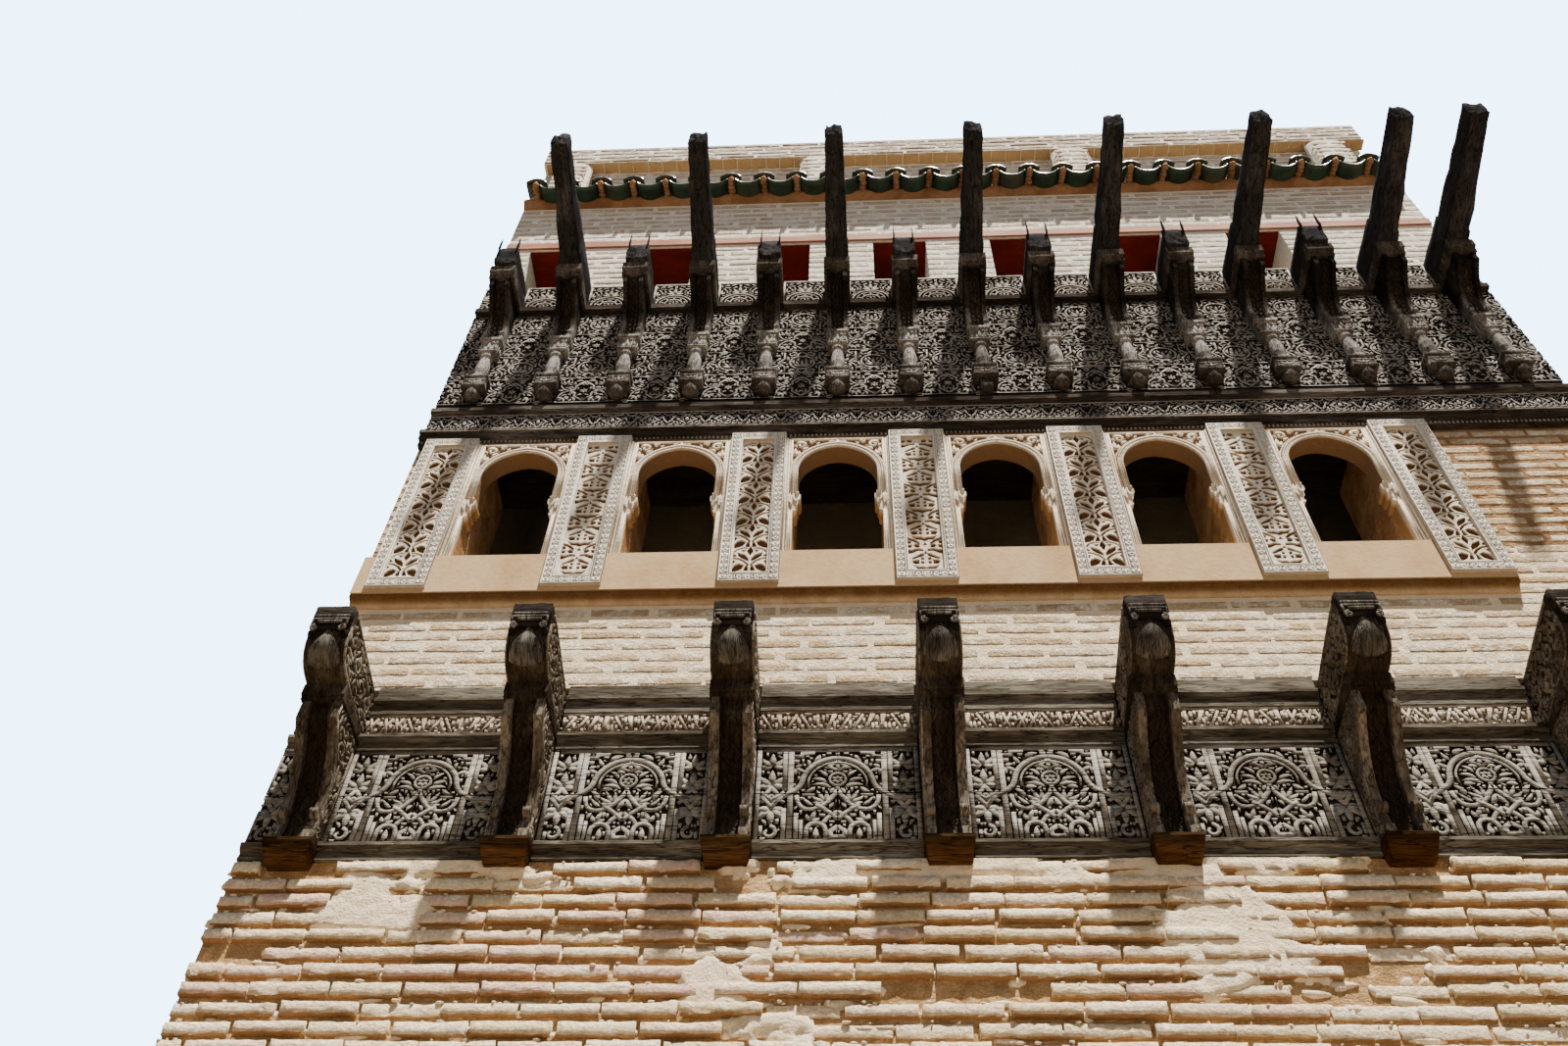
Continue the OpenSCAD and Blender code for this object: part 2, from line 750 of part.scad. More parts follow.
module upper_panels() {
  color("dimgray") upper_board(tall_panel_z, tall_panel_h, upper_proud);
}

module small_panels() {
  color("darkkhaki") stretches(joists, joist_w) translate([-upper_rebate, joist_z])
    square([upper_rebate + upper_proud, joist_h]);
}

// Upper corbels, from the bud up
module corbel_blocks() {
  bud_r = corbel_w * 0.3;
  axis_out = upper_proud + corbel_block_reach / 2;
  fillet = 22;
  color("black") for (x = joists) union() {
    slab(x - corbel_w * 0.42, x + corbel_w * 0.42, upper_proud, upper_proud + corbel_block_reach * 0.86,
      corbel_block_z, corbel_block_z + corbel_block_h);
    slab(x - corbel_w / 2, x + corbel_w / 2, upper_proud, upper_proud + corbel_block_reach,
      corbel_block_z + corbel_block_h - fillet, corbel_block_z + corbel_block_h);
    // One corbel has lost its bud and keeps the square core
    if (x == joists[bare_corbel - 1]) {
      slab(x - bud_r * 0.8, x + bud_r * 0.8, upper_proud, axis_out + bud_r * 0.8,
        corbel_block_z - bud_h * 0.6, corbel_block_z);
    } else {
      translate([x, face_y - axis_out, corbel_block_z]) rotate_extrude() polygon([[0, 0],
        [bud_r * 0.7, 0], [bud_r * 0.8, -bud_h * 0.12], [bud_r, -bud_h * 0.3], [bud_r * 0.94, -bud_h * 0.5],
        [bud_r * 0.62, -bud_h * 0.78], [bud_r * 0.22, -bud_h * 0.95], [0, -bud_h]]);
    }
  }
}

module corbel_colonnettes() {
  r = corbel_w * 0.29;
  axis_out = upper_proud + corbel_block_reach / 2;
  abacus = 24;
  color("dimgray") for (x = joists) union() {
    translate([x, face_y - axis_out, baluster_z]) rotate_extrude() polygon([[0, 0], [r * 1.05, 0],
      [r * 1.05, baluster_h * 0.08], [r * 0.8, baluster_h * 0.14], [r, baluster_h * 0.3],
      [r * 0.98, baluster_h * 0.5], [r * 0.7, baluster_h * 0.78], [r * 0.92, baluster_h * 0.84],
      [r * 0.92, baluster_h * 0.9], [r * 0.66, baluster_h * 0.96], [r * 0.8, baluster_h], [0, baluster_h]]);
    slab(x - corbel_w * 0.38, x + corbel_w * 0.38, upper_proud, upper_proud + corbel_block_reach * 0.82,
      capital_z, capital_z + capital_h);
    slab(x - corbel_w * 0.47, x + corbel_w * 0.47, upper_proud, upper_proud + corbel_block_reach,
      capital_z + capital_h - abacus, capital_z + capital_h);
  }
}

module corbel_cheeks() {
  h = corbel_cap_z - corbel_cheek_z;
  set_back = 20;
  color("dimgray") for (x = joists) union() {
    for (s = [-1, 1])
      across(x + s * (corbel_cheek_span - corbel_cheek_t) / 2, corbel_cheek_t)
        translate([upper_proud, corbel_cheek_z])
          cheek_profile(h, 0, corbel_stem_reach, corbel_cheek_reach, h * 0.2, h * 0.14, 18);
    across(x, corbel_cheek_span - 2 * corbel_cheek_t + 1) translate([upper_proud, corbel_cheek_z])
      cheek_profile(h, 0, corbel_stem_reach - set_back, corbel_cheek_reach - set_back,
        h * 0.12, h * 0.14, 3);
  }
}

module corbel_caps() {
  color("dimgray") for (x = joists) across(x, corbel_cap_w) translate([0, corbel_cap_z])
    polygon([[upper_proud, 0], [upper_proud + corbel_cap_reach - 24, 0],
      [upper_proud + corbel_cap_reach - 24, corbel_cap_edge * 0.6],
      [upper_proud + corbel_cap_reach, corbel_cap_edge * 0.6 + 10],
      [upper_proud + corbel_cap_reach, corbel_cap_edge + (upper_proud + corbel_cap_reach) * rise],
      [upper_proud, corbel_cap_edge + upper_proud * rise]]);
}

// A long beam: thick up to its shoulder, then cut down and drawn in, and once more to its worn end
module long_beams() {
  color("black") for (x = long_joists) union() {
    across(x, joist_w) translate([0, joist_z]) polygon([[-wall_t, 0], [0, 0],
      [shoulder_reach, shoulder_reach * rise], [shoulder_reach, joist_h + shoulder_reach * rise],
      [0, joist_h], [-wall_t, joist_h]]);
    across(x, joist_tip_w) translate([0, joist_z]) polygon([
      [shoulder_reach - 1, (shoulder_reach - 1) * rise + 4], [notch_reach, notch_reach * rise + 12],
      [notch_reach, notch_reach * rise + joist_tip_h + 22],
      [shoulder_reach - 1, joist_tip_h + 34 + (shoulder_reach - 1) * rise]]);
    across(x, joist_end_w) translate([0, joist_z]) polygon([
      [notch_reach - 1, (notch_reach - 1) * rise + 16], [joist_reach - 24, joist_reach * rise + 22],
      [joist_reach, joist_reach * rise + 58], [joist_reach - 14, joist_reach * rise + joist_tip_h * 0.7],
      [joist_reach - 40, joist_reach * rise + joist_tip_h],
      [notch_reach - 1, joist_tip_h + (notch_reach - 1) * rise]]);
  }
}

// A broken beam: thick up to its torn end, with a splintered core and two thin spikes
module broken_stubs() {
  core_reach = stub_reach + 26;
  lift = stub_reach * rise;
  spike_w = 9;
  color("black") for (x = stub_joists) translate([0, 0, joist_z]) union() {
    across(x, joist_w) polygon([[-wall_t, 0], [0, 0], [stub_reach, lift],
      [stub_reach, joist_h * 0.62 + lift], [stub_reach - 34, joist_h * 0.74 + lift],
      [stub_reach - 70, joist_h + lift], [0, joist_h], [-wall_t, joist_h]]);
    across(x, joist_tip_w) polygon([[0, joist_h * 0.5], [stub_reach - 1, joist_h * 0.5 + lift],
      [core_reach, joist_h * 0.62 + lift], [core_reach - 22, joist_h * 0.72 + lift],
      [core_reach + 6, joist_h * 0.84 + lift], [core_reach - 34, joist_h * 1.04 + lift], [0, joist_h]]);
    for (s = [-1, 1])
      across(x + s * (joist_tip_w - spike_w) / 2, spike_w) polygon([[stub_reach - 90, joist_h * 0.8],
        [core_reach - 4, joist_h * 0.9], [core_reach, joist_h * 1.1], [core_reach - 8, joist_h * 1.36],
        [core_reach - 24, joist_h * 1.12], [stub_reach - 90, joist_h * 1.04]]);
  }
}

// Vents and eave
module vent_boards() {
  color("darkred") for (x = vents)
    slab(x - vent_w / 2, x + vent_w / 2, -wall_t, -strip_proud, vent_top_z - vent_board_t, vent_top_z);
}

module painted_strip() {
  color("indianred") slab(left_x, right_x, 0, strip_proud, vent_top_z, vent_top_z + strip_h);
}

module eave_board() {
  drop = eave_reach * tan(eave_slope);
  reach = eave_reach * 0.5;
  color("peru") along(left_x, right_x) translate([0, eave_z + drop]) polygon([[0, 0],
    [reach, -reach * tan(eave_slope)], [reach, -reach * tan(eave_slope) + eave_board_t],
    [0, eave_board_t]]);
}

// One course of barrel tiles, alternately hollow up and hollow down
module eave_tiles() {
  drop = eave_reach * tan(eave_slope);
  tile_l = eave_reach / cos(eave_slope);
  tile_r = tile_pitch / 4;
  tile_rise = 0.7;
  tile_count = floor(width / tile_pitch);
  x0 = -tile_count * tile_pitch / 2;
  steps = 4;
  arc = [for (k = [0:2 * tile_count - 1], i = [0:steps - 1])
    let (a = 180 * i / steps, up = k % 2 == 0 ? 1 : -1)
      [x0 + k * 2 * tile_r + tile_r * (1 - cos(a)), up * tile_r * tile_rise * sin(a)]];
  tile_z = eave_z + drop + eave_board_t + tile_r * tile_rise / cos(eave_slope);
  color("darkgreen") intersection() {
    translate([0, face_y, tile_z]) rotate([90 + eave_slope, 0, 0])
      translate([0, 0, -tile_pitch / 2]) linear_extrude(tile_l + tile_pitch / 2)
        polygon(concat(arc, [for (i = [len(arc) - 1:-1:0]) arc[i] + [0, tile_t]]));
    slab(left_x, right_x, 0, 2 * tile_l, eave_z - drop, tile_z + drop);
  }
}

front_wall_lower();
joist_filling();
front_wall_band();
window_piers();
front_wall_middle();
vent_piers();
front_wall_upper();
parapet_piers();
parapet_coping();
party_walls();
rear_wall();
gallery_floor();
gallery_ceiling();
ceiling_joists();
roof_deck();
lower_mouldings();
lower_panels();
lower_band();
lower_plank();
bracket_blocks();
bracket_cheeks();
bracket_soffits();
bracket_caps();
lower_beams();
beam_end_shells();
sill_slab();
sill_cove();
pilasters();
window_jambs();
impost_corbels();
arch_heads();
lintel_boards();
upper_mouldings();
upper_band();
upper_panels();
small_panels();
corbel_blocks();
corbel_colonnettes();
corbel_cheeks();
corbel_caps();
long_beams();
broken_stubs();
painted_strip();
vent_boards();
eave_board();
eave_tiles();
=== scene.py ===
"""Six bays of a carved courtyard facade, dressed over its frame of plain solids.

Every length is in metres. The front faces -Y and stands at FACE_Y; a distance "out" counts from
that face towards the viewer. Carving is drawn flat as (u, v), u along the wall and v up it.
"""
import math

import bpy
import numpy as np
from mathutils.geometry import delaunay_2d_cdt
from mathutils import Matrix, Vector


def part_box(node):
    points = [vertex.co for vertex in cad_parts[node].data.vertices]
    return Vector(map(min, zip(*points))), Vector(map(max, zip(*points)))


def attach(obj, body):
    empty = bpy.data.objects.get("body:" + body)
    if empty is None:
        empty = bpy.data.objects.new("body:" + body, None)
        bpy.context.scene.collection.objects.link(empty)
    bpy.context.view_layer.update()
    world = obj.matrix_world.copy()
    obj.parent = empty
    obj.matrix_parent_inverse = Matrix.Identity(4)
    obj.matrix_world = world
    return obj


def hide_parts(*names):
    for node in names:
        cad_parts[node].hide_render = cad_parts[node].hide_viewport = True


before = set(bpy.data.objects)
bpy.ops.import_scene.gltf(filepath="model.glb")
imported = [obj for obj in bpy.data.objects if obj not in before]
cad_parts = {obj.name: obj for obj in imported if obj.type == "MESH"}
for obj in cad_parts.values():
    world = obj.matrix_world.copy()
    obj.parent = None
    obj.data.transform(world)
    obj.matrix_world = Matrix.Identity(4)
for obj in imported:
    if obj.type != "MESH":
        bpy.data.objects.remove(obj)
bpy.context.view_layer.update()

# Places read from the frame
FACE_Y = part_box("front_wall_lower")[0].y
LEFT_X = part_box("front_wall_lower")[0].x
RIGHT_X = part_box("front_wall_lower")[1].x
REAR_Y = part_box("rear_wall")[1].y
TOP_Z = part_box("rear_wall")[1].z
FRIEZE_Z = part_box("lower_mouldings")[0].z
BAND_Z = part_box("lower_plank")[1].z
SILL_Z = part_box("sill_slab")[0].z
WINDOW_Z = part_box("sill_slab")[1].z
FASCIA_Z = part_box("upper_mouldings")[0].z
JOIST_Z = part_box("small_panels")[0].z
VENT_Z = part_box("small_panels")[1].z
DECK_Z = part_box("roof_deck")[1].z
COPING_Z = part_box("parapet_coping")[0].z
EAVE_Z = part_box("eave_board")[0].z
CHEEK_FOOT_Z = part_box("corbel_cheeks")[0].z

# Spacing along the wall
BAY_W = 0.862
AXES = [-3.017 + i * BAY_W for i in range(7)]
WINDOWS = [x + BAY_W / 2 for x in AXES[:6]]
JOISTS = [AXES[0] + i * BAY_W / 2 for i in range(15)]
PILASTER_W = 0.298
BLOCK_W = 0.195
JOIST_W = 0.146
# Height of one carved board between two corbels
BOARD_H = 0.26675
VENT_W = 0.370
VENTS = [-0.431 + (i - 3) * 0.812 for i in range(7)]

# The photograph's view, and its light
IMAGE_W = 1600
FOCAL_PIXELS = 1380.0
SENSOR_W = 36.0
EYE = Vector((-0.771, FACE_Y - 4.2, 1.6))
PITCH, YAW, ROLL = 52.7, -5.0, 3.0
SKY_LIGHT, SKY_SEEN = 0.42, 9.0
SUN_POWER, SUN_WIDTH = 15.0, math.radians(1.2)
SUN_WAY = Vector((-0.49, 1.0, -2.75))


def build_camera():
    """Looks steeply up at the facade from a narrow courtyard."""
    pitch, yaw, roll = (math.radians(a) for a in (PITCH, YAW, ROLL))
    forward = Vector((math.cos(pitch) * math.sin(yaw), math.cos(pitch) * math.cos(yaw), math.sin(pitch)))
    level = Vector((math.cos(yaw), -math.sin(yaw), 0))
    upright = level.cross(forward)
    right = level * math.cos(roll) + upright * math.sin(roll)
    up = right.cross(forward)
    data = bpy.data.cameras.new("camera")
    data.sensor_width = SENSOR_W
    data.lens = FOCAL_PIXELS / IMAGE_W * SENSOR_W
    data.clip_end = 200
    camera = bpy.data.objects.new("camera", data)
    bpy.context.scene.collection.objects.link(camera)
    turn = Matrix((right, up, -forward)).transposed().to_4x4()
    camera.matrix_world = Matrix.Translation(EYE) @ turn
    bpy.context.scene.camera = camera


def seen_or_lit(tree, lit, seen):
    """A colour that lights the scene as one and shows in the picture as the other."""
    ray = add_node(tree, "LightPath").outputs["Is Camera Ray"]
    return ray, mix(tree, ray, lit, seen)


def build_lights():
    """High sun from the front right, a pale sky, and light thrown up from the ground."""
    world = bpy.data.worlds.new("pale_sky")
    world.use_nodes = True
    tree = world.node_tree
    background = tree.nodes["Background"]
    seen, tone = seen_or_lit(tree, (600, 790, 1000), (480, 740, 1000))
    tree.links.new(tone, background.inputs["Color"])
    strength = add_node(tree, "MapRange", {}, {"Value": seen, "To Min": SKY_LIGHT, "To Max": SKY_SEEN})
    tree.links.new(strength.outputs[0], background.inputs["Strength"])
    bpy.context.scene.world = world
    sun = bpy.data.lights.new("sun", "SUN")
    sun.energy = SUN_POWER
    sun.angle = SUN_WIDTH
    sun.color = (1.0, 0.94, 0.84)
    lamp = bpy.data.objects.new("sun", sun)
    lamp.rotation_euler = SUN_WAY.to_track_quat("-Z", "Y").to_euler()
    bpy.context.scene.collection.objects.link(lamp)


def build_floor():
    """A plain pale floor that throws light back up."""
    bpy.ops.object.select_all(action="DESELECT")
    bpy.ops.mesh.primitive_plane_add(size=80, location=(0, 0, -0.002))
    floor = bpy.context.object
    floor.name = "floor"
    material = bpy.data.materials.new("pale_floor")
    material.use_nodes = True
    tree = material.node_tree
    shader = tree.nodes["Principled BSDF"]
    shader.inputs["Roughness"].default_value = 0.8
    # The court's own floor lies mostly in shade, so it throws back less light than it shows
    tree.links.new(seen_or_lit(tree, (160, 115, 70), (600, 560, 500))[1], shader.inputs["Base Color"])
    floor.data.materials.append(material)


# Materials. Colours are three numbers in thousandths
FINISH = {}


def add_node(tree, kind, settings=None, sockets=None):
    """Adds a shader node, with its settings, and its sockets linked or given a value."""
    made = tree.nodes.new("ShaderNode" + kind)
    for key, value in (settings or {}).items():
        setattr(made, key, value)
    for key, value in (sockets or {}).items():
        if isinstance(value, bpy.types.NodeSocket):
            tree.links.new(value, made.inputs[key])
        else:
            made.inputs[key].default_value = value
    return made


def object_place(tree):
    """The place of a point on its own piece."""
    return add_node(tree, "TexCoord").outputs["Object"]


def coordinate(tree, axis):
    """One coordinate of that place."""
    return add_node(tree, "SeparateXYZ", {}, {0: object_place(tree)}).outputs[axis]


def reckon(tree, operation, *values):
    """A reckoning with masks and numbers."""
    return add_node(tree, "Math", {"operation": operation}, dict(enumerate(values))).outputs[0]


def reckon_place(tree, operation, *values):
    """The same with places."""
    return add_node(tree, "VectorMath", {"operation": operation}, dict(enumerate(values))).outputs[0]


def noise(tree, place, scale, detail, roughness=0.5):
    """Cloudy noise at a place."""
    return add_node(tree, "TexNoise", {}, {"Vector": place, "Scale": scale, "Detail": detail, "Roughness": roughness})


def ramp(tree, value, low, high, soft=False):
    """A mask that goes from 0 at low to 1 at high."""
    return add_node(tree, "MapRange", {"interpolation_type": "SMOOTHSTEP"} if soft else {},
                    {"Value": value, "From Min": low, "From Max": high}).outputs[0]


def start_group(name, inputs, outputs):
    """A shader group with float or vector inputs and float outputs."""
    group = bpy.data.node_groups.new(name, "ShaderNodeTree")
    for label, value in inputs.items():
        kind = "NodeSocketVector" if isinstance(value, tuple) else "NodeSocketFloat"
        group.interface.new_socket(label, in_out="INPUT", socket_type=kind).default_value = value
    for label in outputs:
        group.interface.new_socket(label, in_out="OUTPUT", socket_type="NodeSocketFloat")
    return group, group.nodes.new("NodeGroupInput").outputs, group.nodes.new("NodeGroupOutput").inputs


def make_mottle():
    """Cloudy patches, stretched as asked, between a low and a high cut."""
    group, given, result = start_group(
        "mottle", {"Stretch": (1.0, 1.0, 1.0), "Scale": 6.0, "Low": 0.4, "High": 0.6}, ["Mask"])
    stretched = reckon_place(group, "MULTIPLY", object_place(group), given["Stretch"])
    clouds = noise(group, stretched, given["Scale"], 5.0, 0.62).outputs[0]
    group.links.new(ramp(group, clouds, given["Low"], given["High"], soft=True), result["Mask"])
    return group


def make_grain():
    """Weathered timber: fine raised grain and long splits that follow the stretch."""
    group, given, result = start_group("grain", {"Stretch": (1.0, 14.0, 14.0), "Scale": 9.0}, ["Fine", "Split"])
    place = object_place(group)
    wander = noise(group, place, 3.0, 2.0).outputs[1]
    shifted = reckon_place(group, "MULTIPLY_ADD", wander, (0.05, 0.05, 0.05), place)
    stretched = reckon_place(group, "MULTIPLY", shifted, given["Stretch"])
    fine = noise(group, stretched, given["Scale"], 4.0, 0.7).outputs[0]
    coarse = noise(group, stretched, 2.3, 3.0).outputs[0]
    ridge = reckon(group, "ABSOLUTE", reckon(group, "SUBTRACT", coarse, 0.5))
    group.links.new(fine, result["Fine"])
    group.links.new(ramp(group, ridge, 0.018, 0.0), result["Split"])
    return group


def make_relief():
    """How far a point stands out of the ground of a carving, from 0 at the ground to 1 at the top."""
    group, given, result = start_group("relief", {"Ground": 0.0, "Top": 0.02}, ["Height"])
    out = reckon(group, "SUBTRACT", FACE_Y, coordinate(group, "Y"))
    group.links.new(ramp(group, out, given["Ground"], given["Top"]), result["Height"])
    return group


MOTTLE, GRAIN, RELIEF = make_mottle(), make_grain(), make_relief()


def mix(tree, mask, low, high, blend="MIX"):
    """A colour from low to high by a mask; each colour is a socket or three numbers."""
    sockets = {0: mask}
    for key, colour in ((6, low), (7, high)):
        sockets[key] = (*(c / 1000 for c in colour), 1) if isinstance(colour, tuple) else colour
    return add_node(tree, "Mix", {"data_type": "RGBA", "blend_type": blend}, sockets).outputs[2]


def dimmed(colour, share):
    """A darker colour."""
    return tuple(share * c for c in colour)


class Finish:
    """A material in the making: its nodes, its shader and its colour so far.

    The sun glances off every front face, so dry wood and clay take no sheen.
    """

    def __init__(self, name, roughness, sheen=0.0):
        FINISH[name] = bpy.data.materials.new(name)
        FINISH[name].use_nodes = True
        self.tree = FINISH[name].node_tree
        self.shader = self.tree.nodes["Principled BSDF"]
        self.shader.inputs["Roughness"].default_value = roughness
        self.shader.inputs["Specular IOR Level"].default_value = sheen
        self.colour = None

    def group(self, group, **values):
        """Places a group with its own values, and gives what it puts out."""
        made = add_node(self.tree, "Group", {"node_tree": group}, values)
        return made.outputs

    def mottle(self, scale, low, high, stretch=(1.0, 1.0, 1.0)):
        """A mask of cloudy patches."""
        return self.group(MOTTLE, Stretch=stretch, Scale=scale, Low=low, High=high)[0]

    def relief(self, ground, top):
        """A mask of what stands out of the ground."""
        return self.group(RELIEF, Ground=ground, Top=top)[0]

    def attribute(self, name):
        """A mask that the piece carries."""
        return add_node(self.tree, "Attribute", {"attribute_name": name}).outputs["Fac"]

    def scaled(self, mask, factor, offset=0.0):
        """A mask times a factor, plus an offset."""
        return reckon(self.tree, "MULTIPLY_ADD", mask, factor, offset)

    def add(self, one, other):
        """The sum of two masks."""
        return reckon(self.tree, "ADD", one, other)

    def start(self, mask, low, high):
        """The first colour, from low to high by a mask."""
        self.colour = mix(self.tree, mask, low, high)

    def cover(self, mask, colour, share=1.0):
        """Lays a colour over the present one where a mask is high."""
        mask = mask if share == 1.0 else self.scaled(mask, share)
        self.colour = mix(self.tree, mask, self.colour, colour)

    def done(self, height, depth):
        """Feeds the colour to the shader, and a height as bump with its depth in metres."""
        bump = add_node(self.tree, "Bump", {}, {"Height": height, "Distance": depth, "Strength": 1.0})
        self.tree.links.new(bump.outputs[0], self.shader.inputs["Normal"])
        self.tree.links.new(self.colour, self.shader.inputs["Base Color"])


def make_brick(name, tones, mortar, smear, pit_depth, shade=(230, 105, 32)):
    """Brick in four tones by the piece's own tone, smeared with mortar and pitted."""
    work = Finish(name, 0.92)
    scale = add_node(work.tree, "ValToRGB", {}, {0: work.attribute("tone")})
    for _ in tones[2:]:
        scale.color_ramp.elements.new(0.5)
    for stop, position, colour in zip(scale.color_ramp.elements, (0.0, 0.3, 0.65, 1.0), tones):
        stop.position = position
        stop.color = (*(c / 1000 for c in colour), 1)
    speck = work.mottle(70.0, 0.42, 0.62)
    work.colour = scale.outputs[0]
    work.cover(work.mottle(7.0, smear, smear + 0.12, (1.0, 1.0, 2.0)), mortar)
    work.cover(speck, dimmed(tones[2], 0.6), 0.42)
    work.cover(work.mottle(2.2, 0.45, 0.75, (1.0, 1.0, 0.6)), (300, 220, 150), 0.22)
    # Painted shade: faces that look down take the shade colour
    work.cover(work.attribute("under"), shade, 0.9)
    coarse = work.mottle(26.0, 0.3, 0.7, (1.0, 1.0, 1.6))
    work.done(work.add(work.scaled(speck, -0.5), coarse), pit_depth)


def make_mortar(name, light, dark, scale, depth):
    """Sandy mortar or render, darker in its hollows."""
    work = Finish(name, 0.95)
    fine = work.mottle(scale, 0.3, 0.7)
    work.start(fine, dark, light)
    work.cover(work.mottle(2.4, 0.35, 0.65), tuple(0.5 * (a + b) for a, b in zip(light, dark)), 0.5)
    work.done(work.add(fine, work.scaled(work.mottle(scale * 5, 0.4, 0.6), 0.3)), depth)


def make_timber(name, dark, mid, light, stretch=(1.0, 14.0, 14.0), relief=None, wash=(0.42, 0.62),
                grain_depth=0.0022, dirt_and_shade=(12, 9, 6), seams=None):
    """Old timber: grain, dark splits, pale weathering and, on carving, painted shade in the hollows and dirt along the
    seams.
    """
    work = Finish(name, 0.82)
    grain = work.group(GRAIN, Stretch=stretch)
    bleach = work.mottle(3.2, *wash, tuple(0.4 + 0.1 * s for s in stretch))
    streak = ramp(work.tree, grain["Fine"], 0.3, 0.68)
    work.start(streak, dark, mid)
    work.cover(reckon(work.tree, "MULTIPLY", bleach, streak), light)
    work.cover(grain["Split"], dirt_and_shade, 0.75)
    # Painted shade: the ground and sides of carving take the dark colour
    if relief:
        work.start(work.relief(*relief), dirt_and_shade, work.colour)
    height = work.add(grain["Fine"], work.scaled(grain["Split"], -1.5))
    if seams:
        # Boards meet at a first level and at every step from it
        above = reckon(work.tree, "SUBTRACT", coordinate(work.tree, "Z"), seams[0])
        seam = ramp(work.tree, reckon(work.tree, "PINGPONG", above, seams[1] / 2), 0.0034, 0.0014)
        work.cover(seam, dimmed(dirt_and_shade, 0.5))
        height = work.add(height, work.scaled(seam, -2.0))
    work.done(height, grain_depth)


def make_plaster(name, light, stain, patch_low, depth=0.002, relief=None, hollow=(160, 85, 40), face=None):
    """Limewashed plaster or stucco, stained in patches; on carving, brown painted shade in the hollows, and where asked
    a greyer painted shade on the face the carving stands on.
    """
    work = Finish(name, 0.9)
    fine = work.mottle(38.0, 0.35, 0.7)
    work.start(work.mottle(3.5, patch_low, patch_low + 0.25, (1.0, 1.0, 0.7)), light, stain)
    work.cover(fine, dimmed(stain, 0.6), 0.2)
    # Painted shade: the hollows of carving take the hollow colour
    if relief:
        work.start(work.relief(*relief), hollow, work.colour)
    # Painted shade: a greyer tone on the face that the carving stands on
    if face:
        work.cover(work.relief(face[0], face[0] + 0.0004), face[1], 0.85)
    work.done(fine, depth)


def make_room_wall(name, light, dark):
    """Rendered wall, pale outside and a flat greyer tone where it closes the gallery: painted shade for the room."""
    work = Finish(name, 0.95)
    fine = work.mottle(9.0, 0.3, 0.7)
    aside = reckon(work.tree, "ABSOLUTE", coordinate(work.tree, "X"))
    inner_x = ramp(work.tree, aside, RIGHT_X - 0.06, RIGHT_X - 0.07)
    inner_y = ramp(work.tree, coordinate(work.tree, "Y"), REAR_Y - 0.06, REAR_Y - 0.07)
    work.start(fine, dark, light)
    # Painted shade on the inner faces of the gallery
    work.cover(reckon(work.tree, "MULTIPLY", inner_x, inner_y), (500, 460, 350))
    work.done(fine, 0.006)


def make_glaze(name, light, dark):
    """Glazed roof tile: deep colour with worn and dusty patches."""
    work = Finish(name, 0.3, 0.4)
    patch, dust = work.mottle(9.0, 0.35, 0.65), work.mottle(4.0, 0.5, 0.7)
    work.start(patch, dark, light)
    work.cover(dust, (160, 120, 70), 0.3)
    work.tree.links.new(work.scaled(dust, 0.5, 0.28), work.shader.inputs["Roughness"])
    work.done(patch, 0.0015)


def make_paint(name, coat, worn, wood):
    """Red paint on planks, faded and flaked to the wood."""
    work = Finish(name, 0.7, 0.05)
    flake = work.mottle(22.0, 0.6, 0.68, (0.6, 1.0, 3.0))
    work.start(work.mottle(5.0, 0.35, 0.7, (0.5, 1.0, 2.0)), coat, worn)
    work.cover(flake, wood)
    work.done(work.add(work.scaled(flake, -0.6), work.group(GRAIN)["Fine"]), 0.0015)


def tint_by_level(name, low, high, low_z, high_z):
    """Changes a finish from one tint at a low level to another at a high one."""
    tree = FINISH[name].node_tree
    shader = tree.nodes["Principled BSDF"]
    wood = shader.inputs["Base Color"].links[0].from_socket
    tint = mix(tree, ramp(tree, coordinate(tree, "Z"), low_z, high_z, soft=True), low, high)
    tree.links.new(mix(tree, 1.0, wood, tint, "MULTIPLY"), shader.inputs["Base Color"])


make_brick("old_brick", [(650, 510, 300), (810, 670, 430), (670, 460, 350), (900, 790, 560)],
           (840, 720, 500), 0.54, 0.0036, (270, 135, 50))
make_brick("flush_brick", [(560, 390, 225), (730, 560, 360), (660, 470, 290), (830, 690, 470)],
           (960, 860, 670), 0.47, 0.010)
make_brick("sun_brick", [(600, 470, 360), (740, 610, 480), (680, 530, 420), (840, 730, 600)],
           (960, 910, 800), 0.47, 0.008)
make_brick("soffit_brick", [(400, 255, 125), (480, 320, 165), (420, 260, 135), (520, 360, 200)],
           (500, 350, 190), 0.5, 0.004, (420, 280, 140))

make_mortar("old_mortar", (600, 400, 205), (340, 195, 85), 16.0, 0.012)
make_mortar("crumb_mortar", (900, 770, 560), (720, 560, 360), 18.0, 0.006)
make_mortar("pale_mortar", (930, 790, 570), (800, 630, 420), 18.0, 0.008)
make_mortar("white_mortar", (960, 910, 800), (860, 790, 660), 18.0, 0.008)
make_mortar("roof_screed", (520, 480, 420), (380, 330, 270), 6.0, 0.006)
make_mortar("reveal_render", (400, 250, 135), (190, 100, 45), 7.0, 0.014)
make_mortar("cove_plaster", (800, 630, 410), (580, 410, 230), 12.0, 0.010)
make_room_wall("wall_render", (660, 550, 400), (500, 380, 250))

